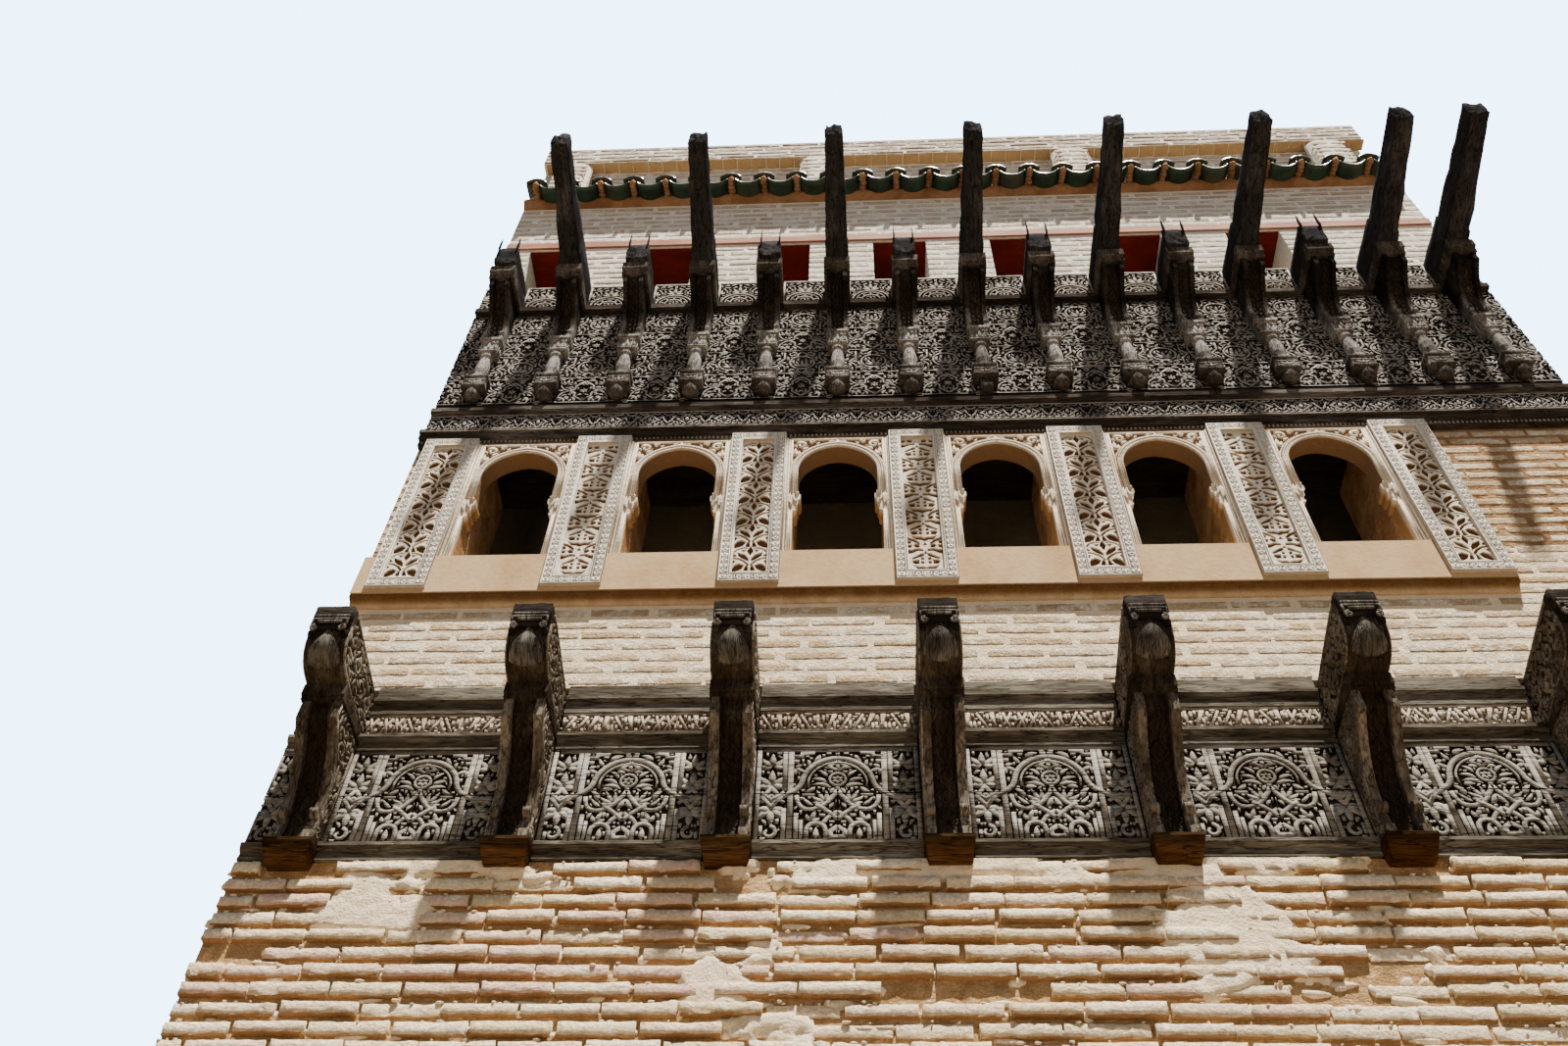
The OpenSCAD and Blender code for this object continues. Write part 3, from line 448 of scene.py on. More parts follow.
make_timber("grey_moulding", (30, 24, 16), (115, 98, 74), (260, 235, 190))
# Painted shade: the ground under the lower panels' carving is nearly black, for the shadow in its voids
make_timber("grey_ground", (10, 7, 4), (30, 20, 12), (60, 42, 27))
make_timber("grey_carving", (70, 60, 47), (210, 190, 158), (360, 340, 300), relief=(0.0138, 0.0151),
            wash=(0.34, 0.56), seams=(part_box("lower_panels")[0].z + 0.255, 3.0))
make_timber("band_carving", (135, 102, 74), (380, 310, 240), (620, 550, 460), relief=(0.0085, 0.0105),
            wash=(0.40, 0.62), dirt_and_shade=(120, 88, 60))
# Painted shade: the narrow band's ground is darker than its straps, for the shadow in its voids
make_timber("band_ground", (50, 36, 24), (150, 112, 78), (250, 200, 150))
make_timber("bracket_cedar", (13, 9, 6), (40, 30, 21), (120, 100, 76), (14.0, 3.0, 3.0), wash=(0.46, 0.7))
make_timber("bracket_carving", (45, 35, 26), (140, 115, 85), (340, 300, 240), (6.0, 6.0, 6.0),
            wash=(0.42, 0.64), grain_depth=0.0016)
make_timber("shell_cedar", (18, 15, 12), (75, 66, 56), (240, 220, 190), (14.0, 2.0, 2.0),
            wash=(0.36, 0.60), grain_depth=0.0016)
make_timber("block_cedar", (60, 32, 16), (190, 115, 60), (300, 210, 120))
make_timber("brown_moulding", (16, 12, 10), (58, 48, 41), (200, 180, 160), wash=(0.46, 0.7))
# Painted shade: the ground under the upper carving is nearly black, for the shadow in its voids
make_timber("brown_ground", (10, 7, 5), (30, 21, 15), (70, 55, 43))
make_timber("brown_carving", (60, 51, 44), (200, 180, 160), (420, 400, 370), relief=(0.0262, 0.0275),
            wash=(0.3, 0.52), seams=(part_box("upper_panels")[0].z, BOARD_H))
make_timber("pale_carving", (100, 82, 66), (320, 280, 235), (560, 510, 450), relief=(0.0262, 0.0275),
            wash=(0.3, 0.52))
UPRIGHT = (14.0, 14.0, 2.0)
make_timber("corbel_cedar", (18, 13, 10), (62, 50, 39), (165, 142, 118), UPRIGHT, wash=(0.44, 0.66))
make_timber("pale_corbel", (45, 38, 33), (170, 155, 140), (420, 400, 370), UPRIGHT, wash=(0.36, 0.58))
make_timber("corbel_face", (22, 17, 14), (70, 59, 50), (190, 170, 150), UPRIGHT, wash=(0.40, 0.64))
make_timber("corbel_side", (40, 33, 28), (140, 125, 112), (360, 340, 310), UPRIGHT)
make_timber("cheek_cedar", (24, 18, 13), (92, 72, 52), (250, 215, 170), (8.0, 3.0, 3.0), wash=(0.38, 0.60))
make_timber("plate_cedar", (10, 8, 7), (32, 27, 23), (100, 90, 78), wash=(0.5, 0.72))
make_timber("black_cedar", (13, 12.5, 13), (42, 40, 42), (105, 100, 100), (14.0, 1.2, 14.0),
            wash=(0.5, 0.72), grain_depth=0.005)
make_timber("lintel_cedar", (90, 40, 16), (240, 115, 48), (330, 200, 110))
make_timber("floor_boards", (80, 50, 30), (200, 135, 80), (300, 220, 150))
# Painted shade: nearly black boards for the gallery ceiling and the wall over the arcade seen through the windows
make_timber("dark_boards", (8, 6, 4), (22, 15, 9), (35, 26, 18))

make_plaster("sill_plaster", (520, 365, 215), (430, 285, 150), 0.45, depth=0.0007)
make_plaster("stucco_body", (620, 540, 430), (420, 320, 210), 0.46, relief=(0.047, 0.052),
             hollow=(130, 65, 28), face=(0.0733, (330, 270, 205)))
make_plaster("stucco_plate", (740, 670, 560), (520, 430, 320), 0.46, relief=(0.046, 0.058))
make_plaster("stucco_border", (640, 600, 530), (440, 380, 300), 0.48, relief=(0.0735, 0.0765),
             hollow=(240, 190, 145))
make_plaster("stucco_spandrel", (660, 580, 470), (460, 360, 250), 0.48, relief=(0.035, 0.042))
make_plaster("stucco_head", (640, 560, 450), (420, 320, 210), 0.46, relief=(0.036, 0.044), hollow=(220, 130, 70))
make_plaster("stucco_jamb", (640, 560, 450), (420, 320, 210), 0.46, relief=(-0.01, 0.028), hollow=(260, 145, 65))
make_plaster("stucco_trim", (660, 580, 470), (460, 360, 250), 0.5)
make_plaster("eave_plaster", (340, 200, 115), (200, 105, 55), 0.4)

make_paint("red_paint", (155, 14, 9), (85, 9, 7), (85, 40, 22))
make_paint("pink_paint", (300, 105, 66), (420, 235, 165), (320, 200, 130))
make_glaze("cover_clay", (45, 50, 30), (16, 20, 13))
make_glaze("green_glaze", (16, 50, 28), (6, 18, 12))

# Tints by level: the blocks darker above the foot of the frieze, and painted shade on the corbel cheeks above their
# feet and in the cove under the sill
tint_by_level("block_cedar", (440, 320, 220), (240, 210, 180), FRIEZE_Z - 0.012, FRIEZE_Z + 0.012)
tint_by_level("corbel_side", (1000, 1000, 1000), (160, 150, 140), CHEEK_FOOT_Z + 0.10, CHEEK_FOOT_Z + 0.24)
tint_by_level("cove_plaster", (950, 880, 800), (260, 180, 120), SILL_Z - 0.052, SILL_Z - 0.022)

# The solids that take each finish
DRESS = {
    "old_mortar": "front_wall_lower",
    "pale_mortar": "joist_filling front_wall_band",
    "white_mortar": "vent_piers front_wall_upper parapet_piers parapet_coping",
    "reveal_render": "window_piers",
    "wall_render": "party_walls rear_wall",
    "roof_screed": "roof_deck",
    "floor_boards": "gallery_floor",
    "dark_boards": "front_wall_middle gallery_ceiling",
    "black_cedar": "ceiling_joists long_beams broken_stubs",
    "grey_moulding": "lower_mouldings lower_plank",
    "grey_ground": "lower_panels",
    "band_ground": "lower_band",
    "block_cedar": "bracket_blocks",
    "cheek_cedar": "bracket_cheeks",
    "bracket_cedar": "bracket_soffits bracket_caps lower_beams beam_end_shells",
    "sill_plaster": "sill_slab",
    "cove_plaster": "sill_cove",
    "stucco_body": "pilasters",
    "stucco_jamb": "window_jambs impost_corbels",
    "stucco_head": "arch_heads",
    "lintel_cedar": "lintel_boards",
    "brown_moulding": "upper_mouldings",
    "brown_ground": "upper_band upper_panels small_panels",
    "corbel_cedar": "corbel_blocks",
    "pale_corbel": "corbel_colonnettes",
    "corbel_side": "corbel_cheeks",
    "corbel_face": "corbel_caps",
    "pink_paint": "painted_strip",
    "red_paint": "vent_boards",
    "eave_plaster": "eave_board",
    "green_glaze": "eave_tiles",
}


def dress_nodes():
    """Gives every carried-over solid its finish."""
    for finish, names in DRESS.items():
        for name in names.split():
            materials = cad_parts[name].data.materials
            materials.clear()
            materials.append(FINISH[finish])


def to_mode(mode):
    """Goes to edit or object mode."""
    bpy.ops.object.mode_set(mode=mode)


def block(size, place=(0, 0, 0)):
    """A block of some size with its middle at a place, left in edit mode."""
    bpy.ops.object.select_all(action="DESELECT")
    bpy.ops.mesh.primitive_cube_add(size=1.0, location=place)
    made = bpy.context.object
    made.scale = size
    bpy.ops.object.transform_apply(location=True, rotation=False, scale=True)
    to_mode("EDIT")
    return made


def cut(place, facing, **sides):
    """Cuts the whole shape along a plane."""
    bpy.ops.mesh.select_all(action="SELECT")
    bpy.ops.mesh.bisect(plane_co=place, plane_no=facing, **sides)


def roughen(offset, seed, uniform=0.0):
    """Moves every point of the whole shape a little."""
    bpy.ops.mesh.select_all(action="SELECT")
    bpy.ops.transform.vertex_random(offset=offset, uniform=uniform, seed=seed)


def select_parts(piece, kind, wanted):
    """Selects the points, edges or faces that a test wants."""
    bpy.ops.mesh.select_mode(type=kind)
    bpy.ops.mesh.select_all(action="DESELECT")
    to_mode("OBJECT")
    mesh = piece.data
    if kind == "EDGE":
        for edge in mesh.edges:
            edge.select = wanted(*(mesh.vertices[i].co for i in edge.vertices))
    elif kind == "VERT":
        for point in mesh.vertices:
            point.select = wanted(point.co)
    else:
        for face in mesh.polygons:
            face.select = wanted(face.normal)
    to_mode("EDIT")


def take_shape(piece):
    """Reads a finished prototype as points and faces, and removes it."""
    if bpy.context.mode != "OBJECT":
        to_mode("OBJECT")
    mesh = piece.data
    points = np.array([v.co for v in mesh.vertices], float).reshape(-1, 3)
    faces = [tuple(p.vertices) for p in mesh.polygons]
    bpy.data.objects.remove(piece)
    return points, faces


def build_mesh(name, points, corners, counts, material, slot, tones=None, smooth=False):
    """Makes one piece of the body from arrays of points, face corners and corner counts."""
    mesh = bpy.data.meshes.new(name)
    mesh.vertices.add(len(points))
    mesh.vertices.foreach_set("co", np.asarray(points, np.float32).ravel())
    mesh.loops.add(len(corners))
    mesh.loops.foreach_set("vertex_index", np.asarray(corners, np.int32))
    mesh.polygons.add(len(counts))
    starts = np.concatenate([[0], np.cumsum(counts)[:-1]]).astype(np.int32)
    mesh.polygons.foreach_set("loop_start", starts)
    if smooth:
        mesh.polygons.foreach_set("use_smooth", np.ones(len(counts), bool))
    if tones is not None:
        tone = mesh.attributes.new("tone", "FLOAT", "POINT")
        tone.data.foreach_set("value", np.asarray(tones, np.float32))
    # How far each face looks down, for painted shade on undersides
    a, b, c = (points[corners[starts + k]] for k in range(3))
    facing = np.cross(b - a, c - b)
    fall = -facing[:, 2] / np.maximum(np.linalg.norm(facing, axis=1), 1e-12)
    under = mesh.attributes.new("under", "FLOAT", "FACE")
    under.data.foreach_set("value", np.clip(fall * 1.6 - 0.3, 0, 1).astype(np.float32))
    mesh.update(calc_edges=True)
    mesh.validate()
    mesh.materials.append(FINISH[material])
    piece = bpy.data.objects.new(name, mesh)
    bpy.context.scene.collection.objects.link(piece)
    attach(piece, "root")
    return piece


def spot(number, place, size=(1, 1, 1), tilt=0.0, tone=0.5, swing=0.0):
    """Where a copy goes: shape number, place, size factors, turn about Y, tone, turn about Z."""
    return number, place, size, tilt, tone, swing


def lay_copies(name, shapes, spots, material, slot, smooth=False):
    """Joins many copies of a few shapes in one piece."""
    all_points, all_corners, all_counts, all_tones = [], [], [], []
    first = 0
    for number, (points, faces) in enumerate(shapes):
        chosen = [s for s in spots if s[0] == number]
        if not chosen:
            continue
        place, size, tilt, tones, swing = (np.array(column, float) for column in list(zip(*chosen))[1:])
        p = points[None, :, :] * size[:, None, :]
        c, s = np.cos(tilt)[:, None], np.sin(tilt)[:, None]
        p = np.stack([p[..., 0] * c + p[..., 2] * s, p[..., 1], p[..., 2] * c - p[..., 0] * s], -1)
        c, s = np.cos(swing)[:, None], np.sin(swing)[:, None]
        p = np.stack([p[..., 0] * c - p[..., 1] * s, p[..., 0] * s + p[..., 1] * c, p[..., 2]], -1)
        p += place[:, None, :]
        corners = np.array([c for f in faces for c in f])
        step = first + np.arange(len(chosen))[:, None] * len(points)
        all_points.append(p.reshape(-1, 3))
        all_corners.append((corners[None, :] + step).ravel())
        all_counts.append(np.tile([len(f) for f in faces], len(chosen)))
        all_tones.append(np.repeat(tones, len(points)))
        first += len(chosen) * len(points)
    arrays = (np.concatenate(a) for a in (all_points, all_corners, all_counts))
    return build_mesh(name, *arrays, material, slot, np.concatenate(all_tones), smooth)


def join_shapes(name, shapes, material, slot, smooth=False):
    """Joins shapes that already have their place in one piece."""
    all_points, all_quads, size = [], [], 0
    for points, quads in shapes:
        all_points.append(points)
        all_quads.append(quads + size)
        size += len(points)
    quads = np.concatenate(all_quads)
    return build_mesh(name, np.concatenate(all_points), quads.ravel(), np.full(len(quads), 4), material, slot,
                      smooth=smooth)


def sheet(grid, flip=False):
    """A surface from rows of points."""
    rows, columns = grid.shape[:2]
    i = (np.arange(rows - 1)[:, None] * columns + np.arange(columns - 1)).ravel()
    quads = np.stack([i, i + columns, i + columns + 1, i + 1], 1)
    return grid.reshape(-1, 3), quads[:, ::-1] if flip else quads

# Brickwork
COURSE = 0.077
BRICK_L = 0.275
BRICK_H = 0.050
HEAD_JOINT = 0.012
SEEN_COURSES = 18
# Bricks that lie nearly flush in their mortar
FLUSH = dict(proud=0.0026, height=0.044, joint=0.024)
HIDDEN = dict(proud=0.004, height=0.056)


def rough_brick(cuts_along, cuts_up, chamfer, wobble, seed):
    """A brick one unit long and high, its face at -Y, worn on its edges."""
    brick = block((BRICK_L, 0.02, BRICK_H))
    select_parts(brick, "FACE", lambda normal: normal.y > 0.5)
    bpy.ops.mesh.delete(type="FACE")
    for facing, cuts, span in (((1, 0, 0), cuts_along, BRICK_L), ((0, 0, 1), cuts_up, BRICK_H)):
        for i in range(1, cuts):
            cut([(i / cuts - 0.5) * span * way for way in facing], facing)

    def on_rim(a, b):
        along_end = min(abs(a.x), abs(b.x)) > BRICK_L * 0.499 and a.x * b.x > 0
        along_bed = min(abs(a.z), abs(b.z)) > BRICK_H * 0.499 and a.z * b.z > 0
        return max(a.y, b.y) < -0.009 and (along_end or along_bed)

    select_parts(brick, "EDGE", on_rim)
    bpy.ops.mesh.bevel(offset=chamfer, segments=1)
    select_parts(brick, "VERT", lambda point: point.y < 0.005)
    bpy.ops.transform.vertex_random(offset=wobble, uniform=0.2, seed=seed)
    return take_shape(brick)


def plain_bricks(seeds, cuts=4, chamfer=0.004, wobble=0.003):
    """Some bricks for plain work."""
    return [rough_brick(cuts, 1, chamfer, wobble, seed) for seed in seeds]


def mortar_lumps(first_seed):
    """Four lumps of mortar squeezed out of a joint."""
    lumps = []
    for seed in range(first_seed, first_seed + 4):
        bpy.ops.object.select_all(action="DESELECT")
        bpy.ops.mesh.primitive_ico_sphere_add(subdivisions=1, radius=0.5, location=(0, 0, 0))
        lump = bpy.context.object
        to_mode("EDIT")
        roughen(0.16, seed)
        lumps.append(take_shape(lump))
    return lumps


def cloud(rng, x, z, size, octaves=4):
    """Soft random hills between 0 and 1 over the points x, z, the broadest of them one size across."""
    side = 97
    result, weight = np.zeros_like(x), 0.0
    for octave in range(octaves):
        knots = rng.uniform(0, 1, (side, side))
        u, v = x / size * 2 ** octave, z / size * 2 ** octave
        i, j = np.floor(u).astype(int), np.floor(v).astype(int)
        a, b = u - i, v - j
        a, b = a * a * (3 - 2 * a), b * b * (3 - 2 * b)
        low, high = (knots[i % side, k % side] * (1 - a) + knots[(i + 1) % side, k % side] * a for k in (j, j + 1))
        result += (low * (1 - b) + high * b) * 0.55 ** octave
        weight += 0.55 ** octave
    return result / weight


def mortar_sheet(rng, x0, x1, z0, z1, cell, stand, cover):
    """Mortar smeared over a stretch of wall, ragged at its edges; cover(x, z, hills) says how much there is."""
    x, z = np.meshgrid(np.arange(x0, x1 + cell / 2, cell), np.arange(z0, z1 + cell / 2, cell), indexing="ij")
    hills = cloud(rng, x, z * 1.7, 0.5, 5)
    fine = cloud(rng, x, z, 0.06, 3)
    amount = np.clip((cover(x, z, hills) + (fine - 0.5) * 0.10) * 22, -1, 1)
    high = stand * np.clip(amount, 0, 1) ** 0.4 + (fine - 0.5) * 0.005 - 0.002
    high[[0, -1]] = -0.002
    keep = (amount[:-1, :-1] > 0) | (amount[1:, :-1] > 0) | (amount[:-1, 1:] > 0) | (amount[1:, 1:] > 0)
    points, quads = sheet(np.stack([x, FACE_Y - high, z], -1))
    used, quads = np.unique(quads[keep.ravel()], return_inverse=True)
    return points[used], quads.reshape(-1, 4)


def brick_spots(rng, x0, x1, z0, z1, shape_count, proud, out=0.0, height=BRICK_H, skip=None, smear=None,
                tone_of=None, lost=0.0, joint=HEAD_JOINT):
    """Running bond from x0 to x1: full bricks, and cut ones at both ends."""
    spots = []
    courses = max(1, round((z1 - z0) / COURSE))
    step = (z1 - z0) / courses
    for row in range(courses):
        z = z0 + (row + 0.5) * step
        x = x0 - (0.5 * BRICK_L if row % 2 else 0.0) - rng.uniform(0, 0.05)
        drift = rng.uniform(-0.004, 0.004)
        while x < x1:
            length = BRICK_L * rng.uniform(0.9, 1.06)
            left, right = max(x, x0), min(x + length, x1)
            x += length + joint * rng.uniform(0.5, 2.0)
            if right - left < 0.035 or (skip and skip((left + right) / 2, z)) or rng.uniform() < lost:
                continue
            middle = (left + right) / 2
            flush = smear(middle, z) if smear else 0.0
            stand = proud * rng.uniform(0.6, 1.25) * (1 - 0.85 * flush)
            if lost and rng.uniform() < 0.07:
                stand *= 0.4
            tall = height * rng.uniform(0.86, 1.1) * step / COURSE
            size = ((right - left) / BRICK_L, max(stand, 0.0015) * 100, tall / BRICK_H)
            place = (middle, FACE_Y - out, z + drift + rng.uniform(-0.002, 0.002))
            tone = tone_of(rng, middle, z) if tone_of else rng.uniform(0, 1)
            spots.append(spot(int(rng.integers(shape_count)), place, size, rng.normal(0, 0.008), tone))
    return spots


def lower_tone(rng, x, z):
    """Pinkish bricks gather in patches at the left; the rest are cream and tan."""
    pink = math.exp(-((x + 2.1) / 0.9) ** 2 - ((z - 4.6) / 0.5) ** 2)
    if rng.uniform() < 0.07 + 0.4 * pink:
        return rng.uniform(0.5, 0.72)
    return rng.choice([rng.uniform(0.0, 0.3), rng.uniform(0.28, 0.45), rng.uniform(0.85, 1.0)])


def lower_smear(x, z):
    """The wall is smeared flush at its right end and in a few patches."""
    right_end = min(1.0, max(0.0, (x - 1.75) / 0.5))
    patch = math.exp(-((x - 1.1) / 0.4) ** 2 - ((z - 4.3) / 0.25) ** 2)
    return max(right_end, 0.8 * patch)


def build_front_bricks():
    """All the brickwork of the front, with the mortar in and over its joints."""
    rng = np.random.default_rng(7)
    worn = [rough_brick(9, 2, chamfer=0.0024, wobble=0.0024, seed=i) for i in range(8)]
    plain = plain_bricks(range(20, 26))
    rough = [rough_brick(9, 2, chamfer=0.006, wobble=0.0042, seed=60 + i) for i in range(6)]
    crumbs = mortar_lumps(0)
    seen_z = FRIEZE_Z - SEEN_COURSES * COURSE

    def under_block(x, z):
        return z > FRIEZE_Z - 0.055 and any(abs(x - axis) < BLOCK_W * 0.55 for axis in AXES)

    seen = brick_spots(rng, LEFT_X, RIGHT_X, seen_z, FRIEZE_Z, len(worn), proud=0.026, skip=under_block,
                       smear=lower_smear, tone_of=lower_tone, lost=0.03)
    lay_copies("worn_bricks", worn, seen, "old_brick", "weathered_brick")
    lower = brick_spots(rng, LEFT_X, RIGHT_X, 0.0, seen_z, len(plain), proud=0.016, smear=lower_smear,
                        tone_of=lower_tone)
    lay_copies("lower_bricks", plain, lower, "old_brick", "weathered_brick")

    lumps = []
    for _, (x, y, z), size, *_ in seen:
        if rng.uniform() < 0.75:
            x += size[0] * BRICK_L / 2 * rng.choice([-1, 1])
            bulk = (rng.uniform(0.02, 0.05), rng.uniform(0.012, 0.026), rng.uniform(0.02, 0.06))
            lumps.append(spot(int(rng.integers(4)), (x, y - 0.002, z + rng.uniform(-0.02, 0.02)), bulk,
                              rng.uniform(-0.6, 0.6), 0.9))
    for _, (middle, _, z), size, *_ in seen:
        if lower_smear(middle, z) < 0.6:
            for _ in range(int(rng.integers(2, 6))):
                x = middle + rng.uniform(-0.5, 0.5) * size[0] * BRICK_L
                bit = rng.uniform(0.006, 0.016)
                place = (int(rng.integers(4)), (x, FACE_Y - rng.uniform(0.008, 0.02), z + rng.uniform(0.020, 0.034)))
                lumps.append(spot(*place, (bit * rng.uniform(1, 2.4), bit, bit), tone=0.9))
    for _ in range(260):
        x, z = rng.uniform(LEFT_X + 0.05, RIGHT_X - 0.05), rng.uniform(seen_z, FRIEZE_Z - 0.07)
        bulk = (rng.uniform(0.05, 0.16), rng.uniform(0.016, 0.030), rng.uniform(0.018, 0.05))
        lumps.append(spot(int(rng.integers(4)), (x, FACE_Y, z), bulk, rng.uniform(-0.15, 0.15), 0.9))
    lay_copies("joint_mortar", crumbs, lumps, "crumb_mortar", "weathered_brick", smooth=True)

    def smeared(x, z, hills):
        end = np.clip((x - 1.7) / 1.2, 0, 1)
        patches = ((-1.35, 0.30, 4.46, 0.20), (0.55, 0.35, 4.50, 0.22))
        patch = sum(np.exp(-((x - at_x) / wide) ** 2 - ((z - at_z) / tall) ** 2) for at_x, wide, at_z, tall in patches)
        under = 0.16 * np.clip((z - FRIEZE_Z + 0.16) / 0.12, 0, 1)
        low = 0.5 * np.clip((seen_z + 0.30 - z) / 0.30, 0, 1)
        return hills - 0.68 + 0.34 * end + 0.22 * patch + under - low

    smears = mortar_sheet(rng, LEFT_X + 0.01, RIGHT_X - 0.01, seen_z, FRIEZE_Z - 0.004, cell=0.012, stand=0.0235,
                          cover=smeared)
    join_shapes("mortar_smears", [smears], "crumb_mortar", "weathered_brick", smooth=True)

    # Brick band, and the plain strips beside the arcade
    reach = PILASTER_W / 2 + 0.004
    flush = brick_spots(rng, LEFT_X, RIGHT_X, BAND_Z, SILL_Z, len(rough), proud=0.0024, height=0.046, joint=0.026)
    for left, right, foot in ((AXES[6] + reach, RIGHT_X, SILL_Z), (LEFT_X, AXES[0] - reach, WINDOW_Z + 0.01)):
        flush += brick_spots(rng, left, right, foot, FASCIA_Z - 0.002, len(rough), proud=0.003, height=0.048,
                             joint=0.022)
    lay_copies("band_bricks", rough, flush, "flush_brick", "flush_brick")

    # Piers between the vents, the wall over them and the parapet
    ends = [LEFT_X] + [x + side * VENT_W / 2 for x in VENTS for side in (-1, 1)] + [RIGHT_X]
    strip_z, strip_top_z = (corner.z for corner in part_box("painted_strip"))
    fields = [(left, right, VENT_Z, strip_z - 0.032, 0.0) for left, right in zip(ends[::2], ends[1::2])]
    fields += [(LEFT_X, RIGHT_X, strip_top_z, EAVE_Z + 0.06, 0.0), (LEFT_X, RIGHT_X, DECK_Z + 0.01, COPING_Z, -0.100)]
    sunny = []
    for left, right, foot, top, out in fields:
        sunny += brick_spots(rng, left, right, foot, top, len(plain), out=out, **FLUSH)
    sunny += brick_spots(rng, LEFT_X, RIGHT_X, COPING_Z, TOP_Z, len(plain), proud=0.005, height=0.048, joint=0.020)
    lay_copies("sunlit_bricks", plain, sunny, "sun_brick", "flush_brick")


def build_hidden_bricks():
    """Plain brickwork on the rear wall and on both party walls."""
    rng = np.random.default_rng(11)
    plain = plain_bricks(range(40, 45), cuts=1, chamfer=0.005, wobble=0.002)
    rear = [spot(n, (-x, REAR_Y + FACE_Y - y, z), size, tilt, tone, math.pi)
            for n, (x, y, z), size, tilt, tone, _ in
            brick_spots(rng, LEFT_X, RIGHT_X, 0.0, TOP_Z, len(plain), **HIDDEN)]
    lay_copies("rear_bricks", plain, rear, "flush_brick", "flush_brick")
    # Each party wall in stretches from its foot up: the height they end at, and how far back they start
    stretches = ((FRIEZE_Z, 0.0), (BAND_Z, 0.07), (FASCIA_Z, 0.0), (VENT_Z, 0.05), (DECK_Z, 0.0), (COPING_Z, 0.10),
                 (TOP_Z, 0.0))
    sides = []
    for side, wall_x in ((-1, LEFT_X), (1, RIGHT_X)):
        low = 0.0
        for high, back in stretches:
            laid = brick_spots(rng, FACE_Y + back + 0.004, REAR_Y - 0.004, low + 0.004, high - 0.004, len(plain),
                               **HIDDEN)
            sides += [spot(n, (wall_x, y, z), size, tilt, tone, side * math.pi / 2)
                      for n, (y, _, z), size, tilt, tone, _ in laid]
            low = high
    lay_copies("party_bricks", plain, sides, "flush_brick", "flush_brick")


def bend(start, pull, end, count=7):
    """Points along a curve from start to end, pulled towards a point."""
    t = np.linspace(0, 1, count)[:, None]
    a, b, c = (np.array(p, float) for p in (start, pull, end))
    return (1 - t) ** 2 * a + 2 * t * (1 - t) * b + t ** 2 * c


def arc(centre, radius, start, end, count=9):
    """Points along an arc, its angles in degrees."""
    a = np.radians(np.linspace(start, end, count))
    return np.stack([centre[0] + radius * np.cos(a), centre[1] + radius * np.sin(a)], 1)


